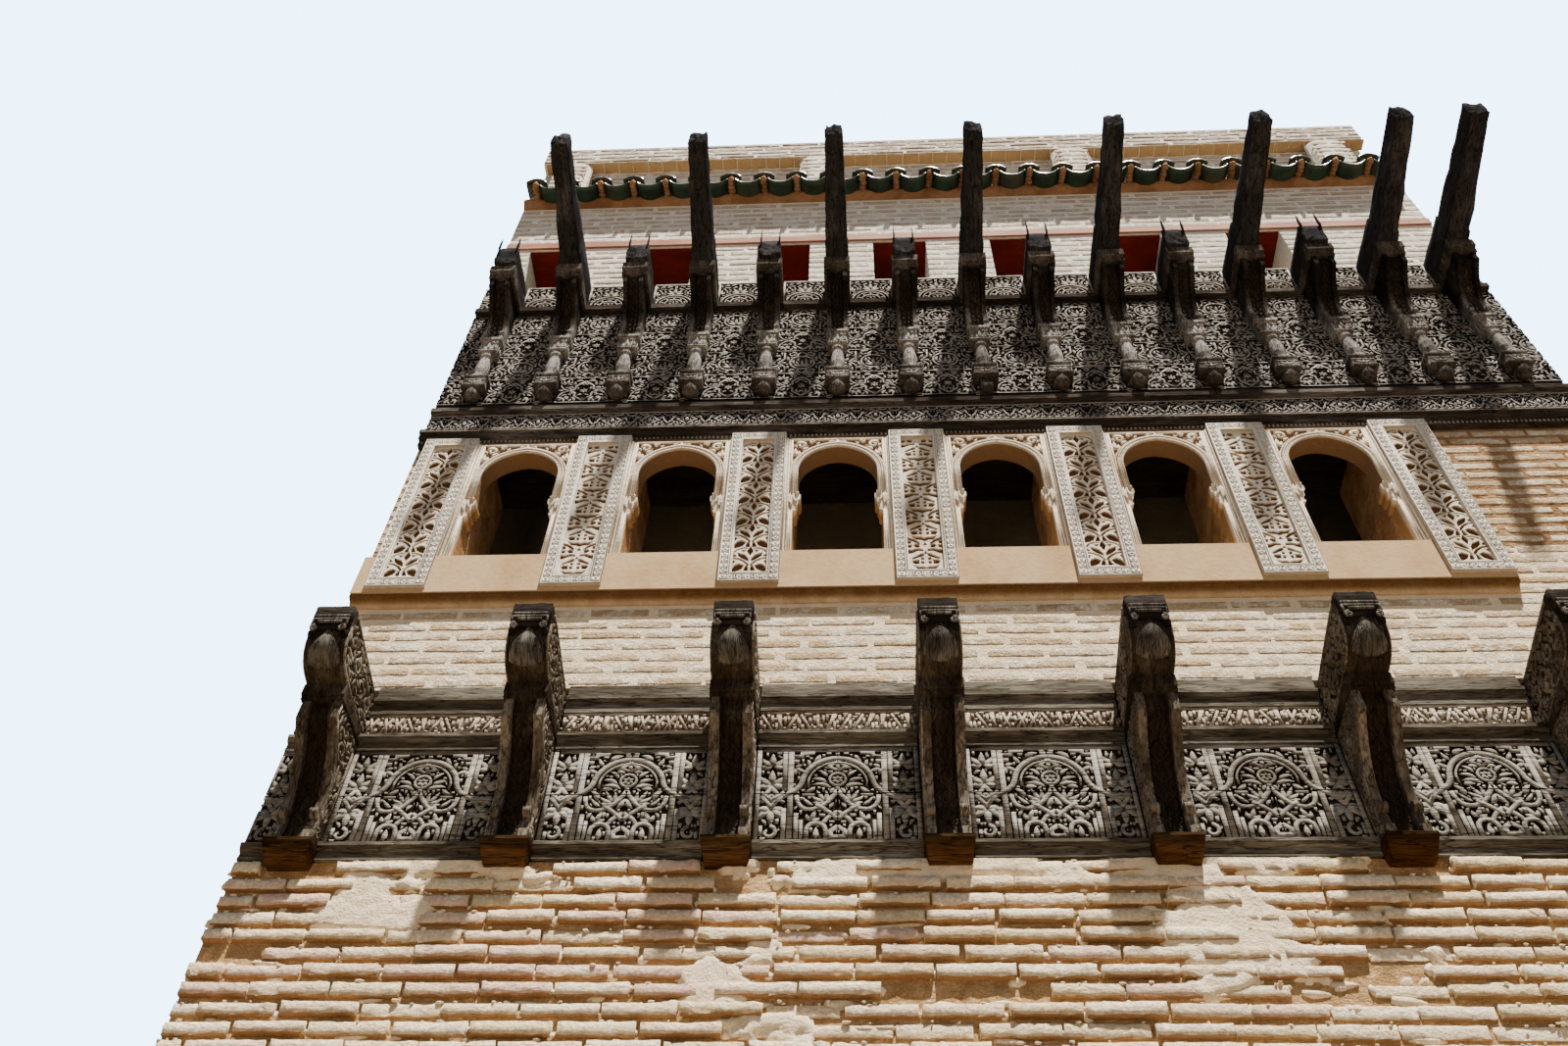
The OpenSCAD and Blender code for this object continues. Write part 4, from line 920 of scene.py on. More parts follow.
class Carving:
    """A unit of flat carving: straps and leaves left standing on a sunk ground.

    It is drawn in a box from (u0, v0) to (u1, v1). Each stroke is a hair higher than the last, so no
    two tops share a plane.
    """

    def __init__(self, u0, u1, v0, v1, top, cell=0.0025, gap=0.0028):
        self.top, self.gap, self.cell = top, gap, cell
        self.u0, self.v0, self.u1, self.v1 = u0, v0, u1, v1
        u = np.arange(u0, u1 + cell, cell)
        v = np.arange(v0, v1 + cell, cell)
        self.grid = np.stack(np.meshgrid(u, v, indexing="ij"), -1)
        self.room = np.full(self.grid.shape[:2], 1.0)
        self.points, self.quads, self.paired, self.size, self.strokes = [], [], [], 0, 0

    def narrow(self, line, half):
        """Keeps how much free room each cell has left."""
        for a, b, wa, wb in zip(line[:-1], line[1:], half[:-1], half[1:]):
            along = b - a
            t = np.clip(((self.grid - a) @ along) / max(along @ along, 1e-9), 0, 1)
            far = np.linalg.norm(self.grid - (a + t[..., None] * along), axis=-1)
            self.room = np.minimum(self.room, far - (wa + (wb - wa) * t))

    def strap(self, line, width, closed=False, top=1.0, ease=0.0016, claim=True):
        """A flat-topped strap along a line, mitred at its corners."""
        line = np.array(line, float)
        count = len(line)
        half = np.broadcast_to(np.asarray(width, float) / 2, (count,)).copy()
        ring = np.concatenate([line, line[:1]]) if closed else line
        step = np.diff(ring, axis=0)
        step /= np.maximum(np.linalg.norm(step, axis=1), 1e-9)[:, None]
        before = np.concatenate([step[-1:] if closed else step[:1], step])[:count]
        after = step if closed else np.concatenate([step, step[-1:]])
        side_a = np.stack([-before[:, 1], before[:, 0]], 1)
        side_b = np.stack([-after[:, 1], after[:, 0]], 1)
        mitre = (side_a + side_b) / np.maximum(1 + (side_a * side_b).sum(1), 0.35)[:, None]
        height = self.top * top + 0.00022 * (self.strokes % 9)
        self.strokes += 1
        rows = []
        for reach, level in ((half + ease, -0.001), (half, height), (-half, height), (-half - ease, -0.001)):
            flat = line + mitre * np.broadcast_to(reach, (count,))[:, None]
            rows.append(np.column_stack([flat, np.full(count, level)]))
        section = np.stack(rows, 1).reshape(-1, 3)
        last = count if closed else count - 1
        i = np.arange(last)[:, None] * 4
        j = (np.arange(last)[:, None] + 1) % count * 4
        quads = [np.concatenate([i + k, j + k, j + k + 1, i + k + 1], 1) for k in range(3)]
        if not closed:
            quads.append(np.array([[0, 1, 2, 3]]))
            end = (count - 1) * 4
            quads.append(np.array([[end + 3, end + 2, end + 1, end]]))
        quads = np.concatenate(quads) + self.size
        self.points.append(section)
        self.quads.append(quads)
        self.size += len(section)
        # A stroke that lies on the axis of a mirrored unit is its own mirror image
        self.paired.append(np.full(len(quads), np.abs(line[:, 0]).max() > 1e-6))
        if claim:
            self.narrow(ring, np.concatenate([half, half[:1]]) if closed else half)

    def leaf(self, base, tip, belly=0.25, width=0.012, top=0.85, steps=5):
        """A pointed leaf from its base to its tip, bowed to one side."""
        base, tip = np.array(base, float), np.array(tip, float)
        along = tip - base
        pull = (base + tip) / 2 + belly * np.array([-along[1], along[0]])
        line = bend(base, pull, tip, steps)
        t = np.linspace(0, 1, steps)
        widths = np.maximum(width * np.sin(np.pi * t ** 0.75) ** 0.8, 0.0012)
        self.strap(line, widths, top=top, ease=0.0010)

    def rosette(self, centre, radius, petals, band=0.008):
        """A ring with petals inside it."""
        self.strap(arc(centre, radius, 0, 330, 12), band, closed=True)
        inner = radius - band / 2
        for k in range(petals):
            a = 2 * math.pi * (k + 0.5) / petals
            way = np.array([math.cos(a), math.sin(a)])
            self.leaf(centre + way * inner * 0.12, centre + way * inner * 0.95, 0.0, inner * 2.0 / petals * 1.15)

    def palmette(self, base, angle, size, leaves=5, spread=150, width=0.3):
        """Leaves fanned out from a base."""
        for k in range(leaves):
            turn = (k / (leaves - 1) - 0.5) * spread
            a = math.radians(angle + turn)
            reach = size * (1 - 0.3 * abs(turn) / spread * 2)
            way = np.array([math.cos(a), math.sin(a)])
            self.leaf(base + way * size * 0.06, base + way * reach, 0.22 * np.sign(turn), size * width)

    def scroll(self, centre, radius, start, turns, width):
        """A strap that winds in to its centre."""
        a = np.radians(np.linspace(start, start + 360 * turns, 11))
        r = np.linspace(radius, radius * 0.25, 11)
        line = np.stack([centre[0] + r * np.cos(a), centre[1] + r * np.sin(a)], 1)
        self.strap(line, np.linspace(width, width * 0.6, 11))

    def draw(self, drawing):
        """Draws a stroke for each line of text: its kind, its measures, then its points, in millimetres.

        strap WIDTH POINTS; leaf WIDTH BOW BASE TIP; bend WIDTH COUNT START PULL END;
        arc WIDTH RADIUS FROM TO COUNT CENTRE; palmette SIZE ANGLE LEAVES SPREAD SHARE BASE;
        scroll WIDTH RADIUS FROM TURNS CENTRE. A point's W-9 is 9 short of the box's right side, H-9 of its top.
        """
        edges = {"W": self.u1, "H": self.v1}
        for words in (line.split() for line in drawing.strip().splitlines()):
            kind = words.pop(0)
            count = {"strap": 1, "leaf": 2, "bend": 2, "scroll": 4}.get(kind, 5)
            width, *more = (float(word) for word in words[:count])
            width /= 1000
            points = [edges[word[0]] + float(word[1:] or 0) / 1000 if word[0] in edges else float(word) / 1000
                      for word in words[count:]]
            points = np.array(points).reshape(-1, 2)
            if kind == "strap":
                self.strap(points, width)
            elif kind == "leaf":
                self.leaf(*points, more[0], width)
            elif kind == "bend":
                self.strap(bend(*points, int(more[0])), width)
            elif kind == "arc":
                self.strap(arc(points[0], more[0] / 1000, more[1], more[2], int(more[3])), width)
            elif kind == "palmette":
                self.palmette(points[0], more[0], width, int(more[1]), *more[2:])
            else:
                self.scroll(points[0], more[0] / 1000, *more[1:], width)

    def has_room(self, line, half):
        """Whether a stroke fits in the room that is left."""
        last = np.array(self.room.shape) - 1
        cells = np.clip(np.round((line - (self.u0, self.v0)) / self.cell).astype(int), 0, last)
        return (self.room[cells[:, 0], cells[:, 1]] > half + self.gap).all()

    def fill(self, rng, lengths, tries=500, fat=0.28, allowed=None):
        """Fills the room that is left with leaves, the long ones first."""
        t = np.array([0.0, 0.2, 0.4, 0.6, 0.8, 1.0])
        for length in lengths:
            width = length * fat
            half = np.maximum(width / 2 * np.sin(np.pi * t ** 0.75) ** 0.8, 0.0006)
            starts = rng.uniform((self.u0, self.v0), (self.u1, self.v1), (tries, 2))
            angles = np.radians(rng.integers(0, 12, tries) * 30 + rng.uniform(-8, 8, tries))
            bows = rng.choice([-0.3, -0.2, 0.2, 0.3], tries)
            for base, a, bow in zip(starts, angles, bows):
                tip = base + length * np.array([math.cos(a), math.sin(a)])
                if not (self.u0 < tip[0] < self.u1 and self.v0 < tip[1] < self.v1):
                    continue
                if allowed is not None and not (allowed(*base) and allowed(*tip)):
                    continue
                along = tip - base
                line = bend(base, (base + tip) / 2 + bow * np.array([-along[1], along[0]]), tip, 6)
                if self.has_room(line, half):
                    self.leaf(base, tip, bow, width, steps=4 if length < 0.03 else 5)

    def fret(self, rng, lengths, tries, width):
        """Fills what room is left with short straight straps, level or upright."""
        t = np.linspace(0, 1, 5)[:, None]
        for length in lengths:
            starts = rng.uniform((self.u0, self.v0), (self.u1, self.v1), (tries, 2))
            ways = rng.integers(0, 2, tries)
            for base, way in zip(starts, ways):
                tip = base + length * np.array([1 - way, way])
                if tip[0] > self.u1 or tip[1] > self.v1:
                    continue
                if self.has_room(base + (tip - base) * t, width / 2):
                    self.strap([base, tip], width, ease=0.0010)

    def shape(self, both_ways=True):
        """The unit's points and quads, with its mirror image if asked."""
        points, quads = np.concatenate(self.points), np.concatenate(self.quads)
        if not both_ways:
            return points, quads
        other = points * (-1, 1, 1)
        mirrored = quads[np.concatenate(self.paired)][:, ::-1] + len(points)
        return np.concatenate([points, other]), np.concatenate([quads, mirrored])


# The directions of the front
ALONG, UP, OUT = (1, 0, 0), (0, 0, 1), (0, -1, 0)


def set_shape(shape, origin, along, up, out):
    """A carved unit laid on any plane: along, up and out of it from an origin."""
    points, quads = shape
    along, up, out = (np.array(v, float) for v in (along, up, out))
    placed = np.array(origin, float) + points[:, :1] * along + points[:, 1:2] * up + points[:, 2:3] * out
    return placed, quads[:, ::-1] if np.cross(along, up) @ out > 0 else quads


def carve(name, units, material, slot):
    """Joins units carved on the front in one piece. A unit is (shape, x, z, out of its ground)."""
    shapes = []
    for shape, x, z, out in units:
        points, quads = set_shape(shape, (x, FACE_Y - out, z), ALONG, UP, OUT)
        inside = (points[:, 0] > LEFT_X) & (points[:, 0] < RIGHT_X)
        if not inside.all():
            quads = quads[inside[quads].any(1)]
            points[:, 0] = np.clip(points[:, 0], LEFT_X, RIGHT_X)
        shapes.append((points, quads))
    return join_shapes(name, shapes, material, slot)


def cut_units(unit, x0, x1, width, z, out):
    """Units side by side from x0 to x1, centred on their middles."""
    count = int(math.ceil((x1 - x0) / width - 1e-6))
    return [(unit, x0 + (i + 0.5) * width, z, out) for i in range(count)]

# Lower frieze: sizes read from the frame
PANEL_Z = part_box("lower_panels")[0].z
PANEL_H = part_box("lower_panels")[1].z - PANEL_Z
NARROW_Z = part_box("lower_band")[0].z
NARROW_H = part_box("lower_band")[1].z - NARROW_Z
LOWER_OUT = 0.006
UPPER_OUT = 0.020
LOWER_RELIEF = 0.011
UPPER_RELIEF = 0.009


def main_panel_unit(rng):
    """Half of a main panel: an arch, rosettes, crossing straps and leaves in a frame."""
    work = Carving(0.0, (BAY_W - BLOCK_W) / 2, 0.0, PANEL_H, LOWER_RELIEF, gap=0.0014)
    # Frame and upright straps
    work.draw("""
        strap 18  W-9 0  W-9 H
        strap 24  0 H-12  W-24 H-12
        strap 16  0 9  W-24 9
        strap 22  192 19  192 H-26
        strap 18  216.5 272  216.5 H-26
        strap 18  216.5 19  216.5 178
        """)
    # Arch and its leaf-pointed feet
    foot = bend((0.146, 0.315), (0.154, 0.27), (0.240, 0.232), 5)
    work.strap(np.concatenate([arc((0, 0.300), 0.146, 90, 8, 10), foot]), 0.021)
    work.strap(np.concatenate([arc((0, 0.300), 0.122, 90, 12, 9), [(0.118, 0.290)]]), 0.008)
    # A flower in a ring on the axis, stepped straps in the corners, rosettes and crossing straps
    work.draw("""
        arc 10 33 90 -90 9  0 330
        leaf 14 0  0 334  0 354
        leaf 14 0  0 326  0 306
        leaf 13 0  4 333  24 343
        leaf 13 0  4 327  24 317
        strap 16  0 294  0 276
        strap 11  0 430  36 402  0 378
        leaf 18 0  0 388  0 420
        leaf 18 0.28  26 286  104 302
        leaf 18 0.26  44 314  104 334
        leaf 17 0.24  42 344  80 380
        leaf 13 0.2  12 388  58 396
        strap 16  180 458  146 458  146 476  94 476
        strap 18  180 430  158 430
        palmette 52 205 3 110 0.36  176 392
        palmette 70 62 5 130 0.26  52 212
        leaf 16 -0.2  100 196  140 236
        bend 17 7  0 276  45 172  118 172
        bend 17 6  118 172  164 178  166 246
        bend 17 5  0 160  52 128  60 90
        bend 17 6  0 120  30 160  88 198
        """)
    loop = arc((0.086, 0.066), 0.038, 180, 0, 7)
    work.strap(np.concatenate([[(0.048, 0.018)], loop, [(0.124, 0.018)]]), 0.017)
    work.draw("""
        strap 18  0 86  28 64  28 34  0 34
        strap 17  166 18  166 152
        strap 13  146 18  146 118
        leaf 24 0  86 24  86 80
        palmette 56 110 3 90 0.38  108 112
        """)
    # Side column: an interlaced diamond between palmettes
    work.strap([(0.268, 0.286), (0.304, 0.236), (0.268, 0.186), (0.232, 0.236)], 0.017, closed=True)
    work.draw("""
        strap 14  216 262  268 222  310 262
        strap 14  216 208  268 248  310 208
        palmette 80 90 5 190 0.38  268 302
        palmette 72 90 5 170 0.38  268 400
        palmette 80 270 5 180 0.38  268 170
        scroll 16 34 100 0.9  274 56
        """)
    work.fill(rng, (0.060, 0.046, 0.036), 480, fat=0.42)
    work.fret(rng, (0.050, 0.036, 0.024), 700, 0.013)
    work.fret(rng, (0.020, 0.012), 900, 0.009)
    work.fill(rng, (0.020, 0.014), 500, fat=0.45)
    return work.shape()


def narrow_band_unit(rng):
    """A quarter of the narrow band in a bay: short level, upright and slanting straps with thin sunk lines."""
    wide, high = (BAY_W - BLOCK_W) / 4, NARROW_H
    work = Carving(-wide / 2, wide / 2, 0.0, high, LOWER_RELIEF * 0.7, cell=0.0015, gap=0.0020)
    for v in (0.006, high - 0.007):
        work.strap([(-wide / 2, v), (wide / 2, v)], 0.012)
    low, top = 0.022, high - 0.023
    for k in range(3):
        u = (k - 1) * wide / 3 + rng.uniform(-0.006, 0.006)
        lean = rng.choice([-0.022, 0.0, 0.022])
        work.strap([(u - lean, low), (u, (low + top) / 2), (u + lean, top)], 0.0105)
        work.strap([(u - 0.011, rng.choice([low, top])), (u + 0.011, rng.choice([low, top]))], 0.010)
    work.fret(rng, (0.044, 0.032, 0.022), 500, 0.0105)
    work.fret(rng, (0.014, 0.008), 500, 0.0085)
    work.fill(rng, (0.018, 0.013), 300, fat=0.45)
    return work.shape(False)


def upper_band_unit(rng):
    """Half of a pointed cartouche with leaves, for the band over the arcade."""
    work = Carving(0.0, BAY_W / 8, 0.0, 0.159, UPPER_RELIEF)
    work.draw("strap 12  0 6  W 6 \n strap 10  0 H-5  W H-5")
    upper = bend((0.0, 0.128), (0.016, 0.098), (0.054, 0.074), 6)
    lower = bend((0.054, 0.074), (0.022, 0.046), (0.0, 0.026), 6)
    work.strap(np.concatenate([upper, lower[1:]]), 0.010)
    work.draw("""
        leaf 22 0  0 52  0 104
        bend 8 6  W 30  90 60  66 118
        arc 7 30 180 270 5  W 148
        arc 6 22 190 350 6  40 150
        palmette 44 90 3 120 0.3  W 50
        """)
    work.fill(rng, (0.036, 0.026, 0.018), 260)
    return work.shape()


def tall_panel_unit(rng, kind):
    """Half of one board's carving between two corbels."""
    half = BAY_W / 4 - 0.004
    work = Carving(0.0, half, 0.0, BOARD_H, UPPER_RELIEF, gap=0.0026)
    work.strap([(0.0, 0.004), (half, 0.004)], 0.008, claim=False)
    if kind == 0:
        work.draw("strap 11  0 236  52 186  52 150  86 130  52 110  52 72  0 24")
        work.rosette((0.0, 0.130), 0.030, 6, 0.007)
        work.draw("""
            bend 9 6  86 130  150 150  150 230
            bend 9 6  86 130  150 110  150 30
            palmette 36 90 3 120 0.3  0 196
            palmette 50 100 5 170 0.3  112 206
            palmette 50 260 5 170 0.3  112 56
            """)
    else:
        work.draw("""
            arc 11 74 90 -90 12  0 132
            strap 8  0 256  34 224  0 196
            strap 8  0 10  34 40  0 68
            palmette 78 90 5 130 0.24  0 88
            strap 10  106 12  106 86  146 132  106 178  106 250
            leaf 18 0  96 132  130 132
            scroll 8 22 200 0.8  64 232
            scroll 8 22 160 -0.8  64 34
            """)
    work.fill(rng, (0.052, 0.040, 0.030), 330, fat=0.34)
    work.fill(rng, (0.022,), 160, fat=0.4)
    return work.shape()


def small_panel_unit(rng):
    """Half of a framed panel between two beams: a half-round medallion in leaves."""
    work = Carving(0.0, (BAY_W / 2 - JOIST_W) / 2, 0.0, VENT_Z - JOIST_Z, UPPER_RELIEF, gap=0.0030)
    work.draw("""
        strap 18  0 10  W 10
        strap 18  0 H-10  W H-10
        strap 12  W-6 20  W-6 H-20
        arc 12 118 90 0 10  0 26
        arc 7 92 90 0 10  0 26
        arc 10 58 90 0 10  0 26
        palmette 46 90 3 110 0.3  0 20
        """)
    for a in np.radians((18, 54, 90)):
        way = np.array([math.cos(a), math.sin(a)])
        work.leaf((0.0, 0.026) + way * 0.066, (0.0, 0.026) + way * 0.086, 0.0, 0.014)
    work.draw("palmette 80 90 5 150 0.3  0 160 \n palmette 60 100 3 60 0.3  W-16 140")
    work.fill(rng, (0.044, 0.032, 0.024), 300)
    return work.shape()


def build_friezes():
    """The carving of both friezes."""
    rng = np.random.default_rng(3)
    panel_w = BAY_W - BLOCK_W
    end_x = AXES[6] + BAY_W / 2
    bays = [AXES[0] - BAY_W / 2] + WINDOWS + [end_x, end_x + panel_w]
    mains = [main_panel_unit(rng) for _ in range(2)]
    units = [(mains[i % 2], x, PANEL_Z, LOWER_OUT) for i, x in enumerate(WINDOWS + [end_x])]
    units += [(mains[1], x, PANEL_Z, LOWER_OUT) for x in (bays[-1], bays[0])]
    carve("main_panel_carving", units, "grey_carving", "grey_cedar")

    draw = np.random.default_rng(17)
    keys = [narrow_band_unit(draw) for _ in range(5)]
    units = [(keys[(i + bay * 3) % 5], x + (i - 1.5) * panel_w / 4, NARROW_Z, LOWER_OUT)
             for bay, x in enumerate(bays) for i in range(4)]
    carve("narrow_band_carving", units, "band_carving", "grey_cedar")

    band_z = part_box("upper_band")[0].z
    units = cut_units(upper_band_unit(rng), AXES[0] - BAY_W * 0.375, RIGHT_X, BAY_W / 4, band_z, UPPER_OUT)
    carve("upper_band_carving", units, "brown_carving", "dark_cedar")

    boards = [tall_panel_unit(rng, kind) for kind in (0, 1, 0, 1)]
    low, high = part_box("upper_panels")
    middles = [JOISTS[0] - BAY_W / 4] + [x + BAY_W / 4 for x in JOISTS]
    for half_name, rows in (("low", (0, 1)), ("high", (2, 3))):
        units = [(boards[(row + (i % 2) * 2) % 4], x, low.z + row * (high.z - low.z) / 4, UPPER_OUT)
                 for row in rows for i, x in enumerate(middles)]
        carve("tall_panel_carving_" + half_name, units, "brown_carving", "dark_cedar")

    small = small_panel_unit(rng)
    carve("small_panel_carving", [(small, x, JOIST_Z, UPPER_OUT) for x in middles], "pale_carving", "dark_cedar")

    # Beads, a running leaf and a cord along the steps of the fascia over the arcade
    units = []
    for wide, high, relief, step, up, out, drawing in (
            (0.012, 0.039, 0.004, 0.024, 0.0, 0.0390, "strap 11  0 11  0 29"),
            (0.020, 0.031, 0.004, 0.040, 0.0733, 0.0782, "strap 4  -20.2 4  20.2 4\n leaf 11 0.25  -17 11  15 24"),
            (0.030, 0.052, 0.005, 0.060, 0.1045, UPPER_OUT, "leaf 14 0.3  -24 12  22 18\n leaf 14 0.3  20 38  -22 34")):
        work = Carving(-wide, wide, 0.0, high, relief, cell=0.02)
        work.draw(drawing)
        units += cut_units(work.shape(False), LEFT_X + 0.01, RIGHT_X - 0.01, step, FASCIA_Z + up, out)
    carve("fascia_carving", units, "brown_carving", "dark_cedar")

# Arcade: sizes read from the frame
PILASTER_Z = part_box("pilasters")[0].z
PILASTER_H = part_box("pilasters")[1].z - PILASTER_Z
PILASTER_OUT = FACE_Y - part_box("pilasters")[0].y
BORDER = 0.062
HOLLOW_OUT = PILASTER_OUT - 0.028
PANEL_HALF = PILASTER_W / 2 - BORDER
ARCH_Z = 7.440
HEAD_OUT = 0.035
HEAD_HALF = 0.256
ARCH_R, ARCH_SHIFT, ARCH_STILT = 0.2315, 0.020, 0.0924
PLATE_THICK = 0.014
FAN_STEP, KNOT_STEP = 0.186, 0.2314
# In the drawings of the holes: half a panel's width, and the height of a fan and of a knot
DRAWN_HALF, DRAWN_FAN, DRAWN_KNOT = 150, 228, 283


def widened(loop, by):
    """A closed loop moved out to its left by some way, mitred at its corners."""
    step = np.roll(loop, -1, 0) - loop
    step /= np.maximum(np.linalg.norm(step, axis=1), 1e-9)[:, None]
    after = np.stack([-step[:, 1], step[:, 0]], 1)
    before = np.roll(after, 1, 0)
    return loop + (before + after) / np.maximum(1 + (before * after).sum(1), 0.5)[:, None] * by


def pierced_plate(outline, holes, thick, swell):
    """A flat plate with holes through it, its face at -Y and its foot at z = 0."""
    loops = [outline]
    for hole in holes:
        u, v = hole.T
        turns_left = (u * np.roll(v, -1) - v * np.roll(u, -1)).sum() > 0
        loops.append(widened(hole[::-1] if turns_left else hole, swell))
    edges, first = [], 0
    for loop in loops:
        i = first + np.arange(len(loop))
        edges += zip(i.tolist(), np.roll(i, -1).tolist())
        first += len(loop)
    flat = np.concatenate(loops)
    made = delaunay_2d_cdt([Vector(p) for p in flat], edges, [], 2, 1e-6)
    face = np.array([(p[0], p[1]) for p in made[0]])
    # The faces that lie in a hole are left out
    centre = np.array([face[list(f)].mean(0) for f in made[2]])
    solid = np.ones(len(centre), bool)
    for hole in loops[1:]:
        (u, v), (u2, v2) = hole.T, np.roll(hole, -1, 0).T
        spans = (v > centre[:, 1:]) != (v2 > centre[:, 1:])
        beyond = centre[:, :1] < (u2 - u) * (centre[:, 1:] - v) / np.where(v2 == v, 1e-9, v2 - v) + u
        solid &= (spans & beyond).sum(1) % 2 == 0
    count = len(flat)
    points = [np.column_stack([at[:, 0], np.full(len(at), y), at[:, 1]])
              for at, y in ((flat, 0.0), (flat, -thick), (face, -thick))]
    sides = [(a, b, b + count, a + count) for a, b in edges]
    front = [tuple(c + 2 * count for c in f) for f, kept in zip(made[2], solid) if kept]
    return np.concatenate(points), sides + front


def read_holes(drawing):
    """Reads one hole from each line of a drawing."""
    return [np.array(line.split(), float).reshape(-1, 2) for line in drawing.strip().splitlines()]


def pierced_panel(high, first, step, straight, sided, scale_v, swell):
    """A whole panel: the holes of one unit, drawn about its centre, repeated up the plate."""
    half, scale_u, placed = PANEL_HALF, PANEL_HALF / DRAWN_HALF, []
    drawn = [(line, 1) for line in read_holes(straight)]
    drawn += [(line, way) for line in read_holes(sided) for way in (1, -1)]
    for k in range(-1, int(high / step) + 2):
        for line, way in drawn:
            hole = line * (way * scale_u, -scale_v) + (0, first + k * step)
            if hole[:, 1].min() > 0.004 and hole[:, 1].max() < high - 0.004:
                placed.append(hole)
    outline = np.array([(-half, 0), (half, 0), (half, high), (-half, high)])
    return pierced_plate(outline, placed, PLATE_THICK, swell)


# The holes of one unit to the right of its axis, drawn downwards from its centre: a drop and the petals
# beside it with their corners, the long wing, the broad leaf with the wedge by the axis, the lower wing
FAN_DROP = "0 -46  15 -20  26 0  14 22  0 46  -14 22  -26 0  -15 -20"
FAN_SIDED = """
    9 101  14 70  44 34  106 14  96 48  64 72  34 87
    112 52  122 36  142 28  142 54
    32 -14  78 -10  54 10
    2 146  10 122  44 90  92 68  142 62  142 74  96 82  54 104  22 132
    120 98  142 90  142 126
    44 138  84 120  116 130  141 160  143 200  106 194  66 174
    14 140  27 138  52 186  11 190
    20 206  62 204  108 218  141 250  142 234  116 208  66 192  30 196
    """
# The same for a knot: a roof over a flower, and a crossing under it, drawn from the roof's point
KNOT_DROP = """
    0 -12  13 8  -13 8
    -116 116  -62 130  -30 128  0 138  30 128  62 130  116 116  70 154  30 158  0 170  -30 158  -70 154
    0 184  16 208  -16 208
    """
KNOT_SIDED = """
    18 10  34 8  116 50  112 62  88 54  20 28
    56 70  100 70  116 84  94 106  56 102  66 86
    20 50  38 44  40 64  22 68
    20 84  40 80  40 102  24 104
    142 136  142 154  104 168  54 198  40 192  86 152
    44 206  78 198  94 214  74 232  44 230  54 218
    118 172  142 164  142 194  124 192
    112 208  142 206  142 234  120 230
    142 252  142 292  116 286  66 264  20 266  24 248  70 242  110 254
    """


def border_stroke(kind):
    """A curled unit of the running ornament round a pilaster."""
    work = Carving(-0.021, 0.021, -0.018, 0.018, 0.0040)
    if kind == 0:
        work.draw("strap 8.5  11 12  -12 12  -12 -12  11 -12 \n strap 7.5  -3 0  14 0")
    else:
        work.draw("arc 8.5 12.5 50 310 7  1 0 \n strap 7.5  0 0  14 0")
    work.draw("strap 3  19 15  19 -15")
    return work.shape(False)


def turned(shape, quarter):
    """A unit turned by quarter turns in its plane."""
    points, quads = shape
    c, s = math.cos(quarter * math.pi / 2), math.sin(quarter * math.pi / 2)
    flat = points[:, :2] @ np.array([[c, s], [-s, c]])
    return np.column_stack([flat, points[:, 2]]), quads


def build_pilasters():
    """Pierced fans and knots by turns in the panels, and curled borders round them."""
    panel_h = PILASTER_H - 2 * BORDER
    panel_z = PILASTER_Z + BORDER
    fan = pierced_panel(panel_h, 0.185, FAN_STEP, FAN_DROP, FAN_SIDED, FAN_STEP / DRAWN_FAN, swell=0.0018)
    knot = pierced_panel(panel_h, 0.150, KNOT_STEP, KNOT_DROP, KNOT_SIDED, KNOT_STEP / DRAWN_KNOT, swell=0.0028)
    spots = [spot(i % 2, (x, FACE_Y - HOLLOW_OUT, panel_z)) for i, x in enumerate(AXES)]
    lay_copies("pierced_panels", [fan, knot], spots, "stucco_plate", "carved_stucco")

    frame_work = Carving(-0.15, 0.15, 0.0, PILASTER_H, 0.0045, cell=0.02)
    wide = PILASTER_W / 2
    for inset, width in ((0.0035, 0.006), (BORDER - 0.015, 0.0050), (BORDER - 0.005, 0.0095)):
        frame_work.strap([(-wide + inset, inset), (wide - inset, inset), (wide - inset, PILASTER_H - inset),
                          (-wide + inset, PILASTER_H - inset)], width, closed=True)
    lines = frame_work.shape(False)
    curls = [border_stroke(0), border_stroke(1)]
    strip, pitch = 0.026, 0.0425
    rows = round((PILASTER_H - 0.02) / pitch)
    step = (PILASTER_H - 0.02) / rows
    units = []
    for x in AXES:
        units.append((lines, x, PILASTER_Z, PILASTER_OUT))
        for i in range(rows):
            z = PILASTER_Z + 0.01 + (i + 0.5) * step
            for side in (-1, 1):
                units.append((turned(curls[i % 2], 1), x + side * (wide - strip), z, PILASTER_OUT))
        for i in range(-2, 3):
            for z in (PILASTER_Z + strip, PILASTER_Z + PILASTER_H - strip):
                units.append((curls[i % 2], x + i * pitch, z, PILASTER_OUT))
    carve("pilaster_borders", units, "stucco_border", "carved_stucco")


def arch_line(extra, foot):
    """Half of the arch, from its foot up to the point, some way outside the opening."""
    radius = ARCH_R + extra
    crown = math.degrees(math.acos(ARCH_SHIFT / radius))
    curve = arc((-ARCH_SHIFT, ARCH_STILT), radius, 0, crown - 0.3, 16)
    return np.concatenate([[(radius - ARCH_SHIFT, foot)], curve])


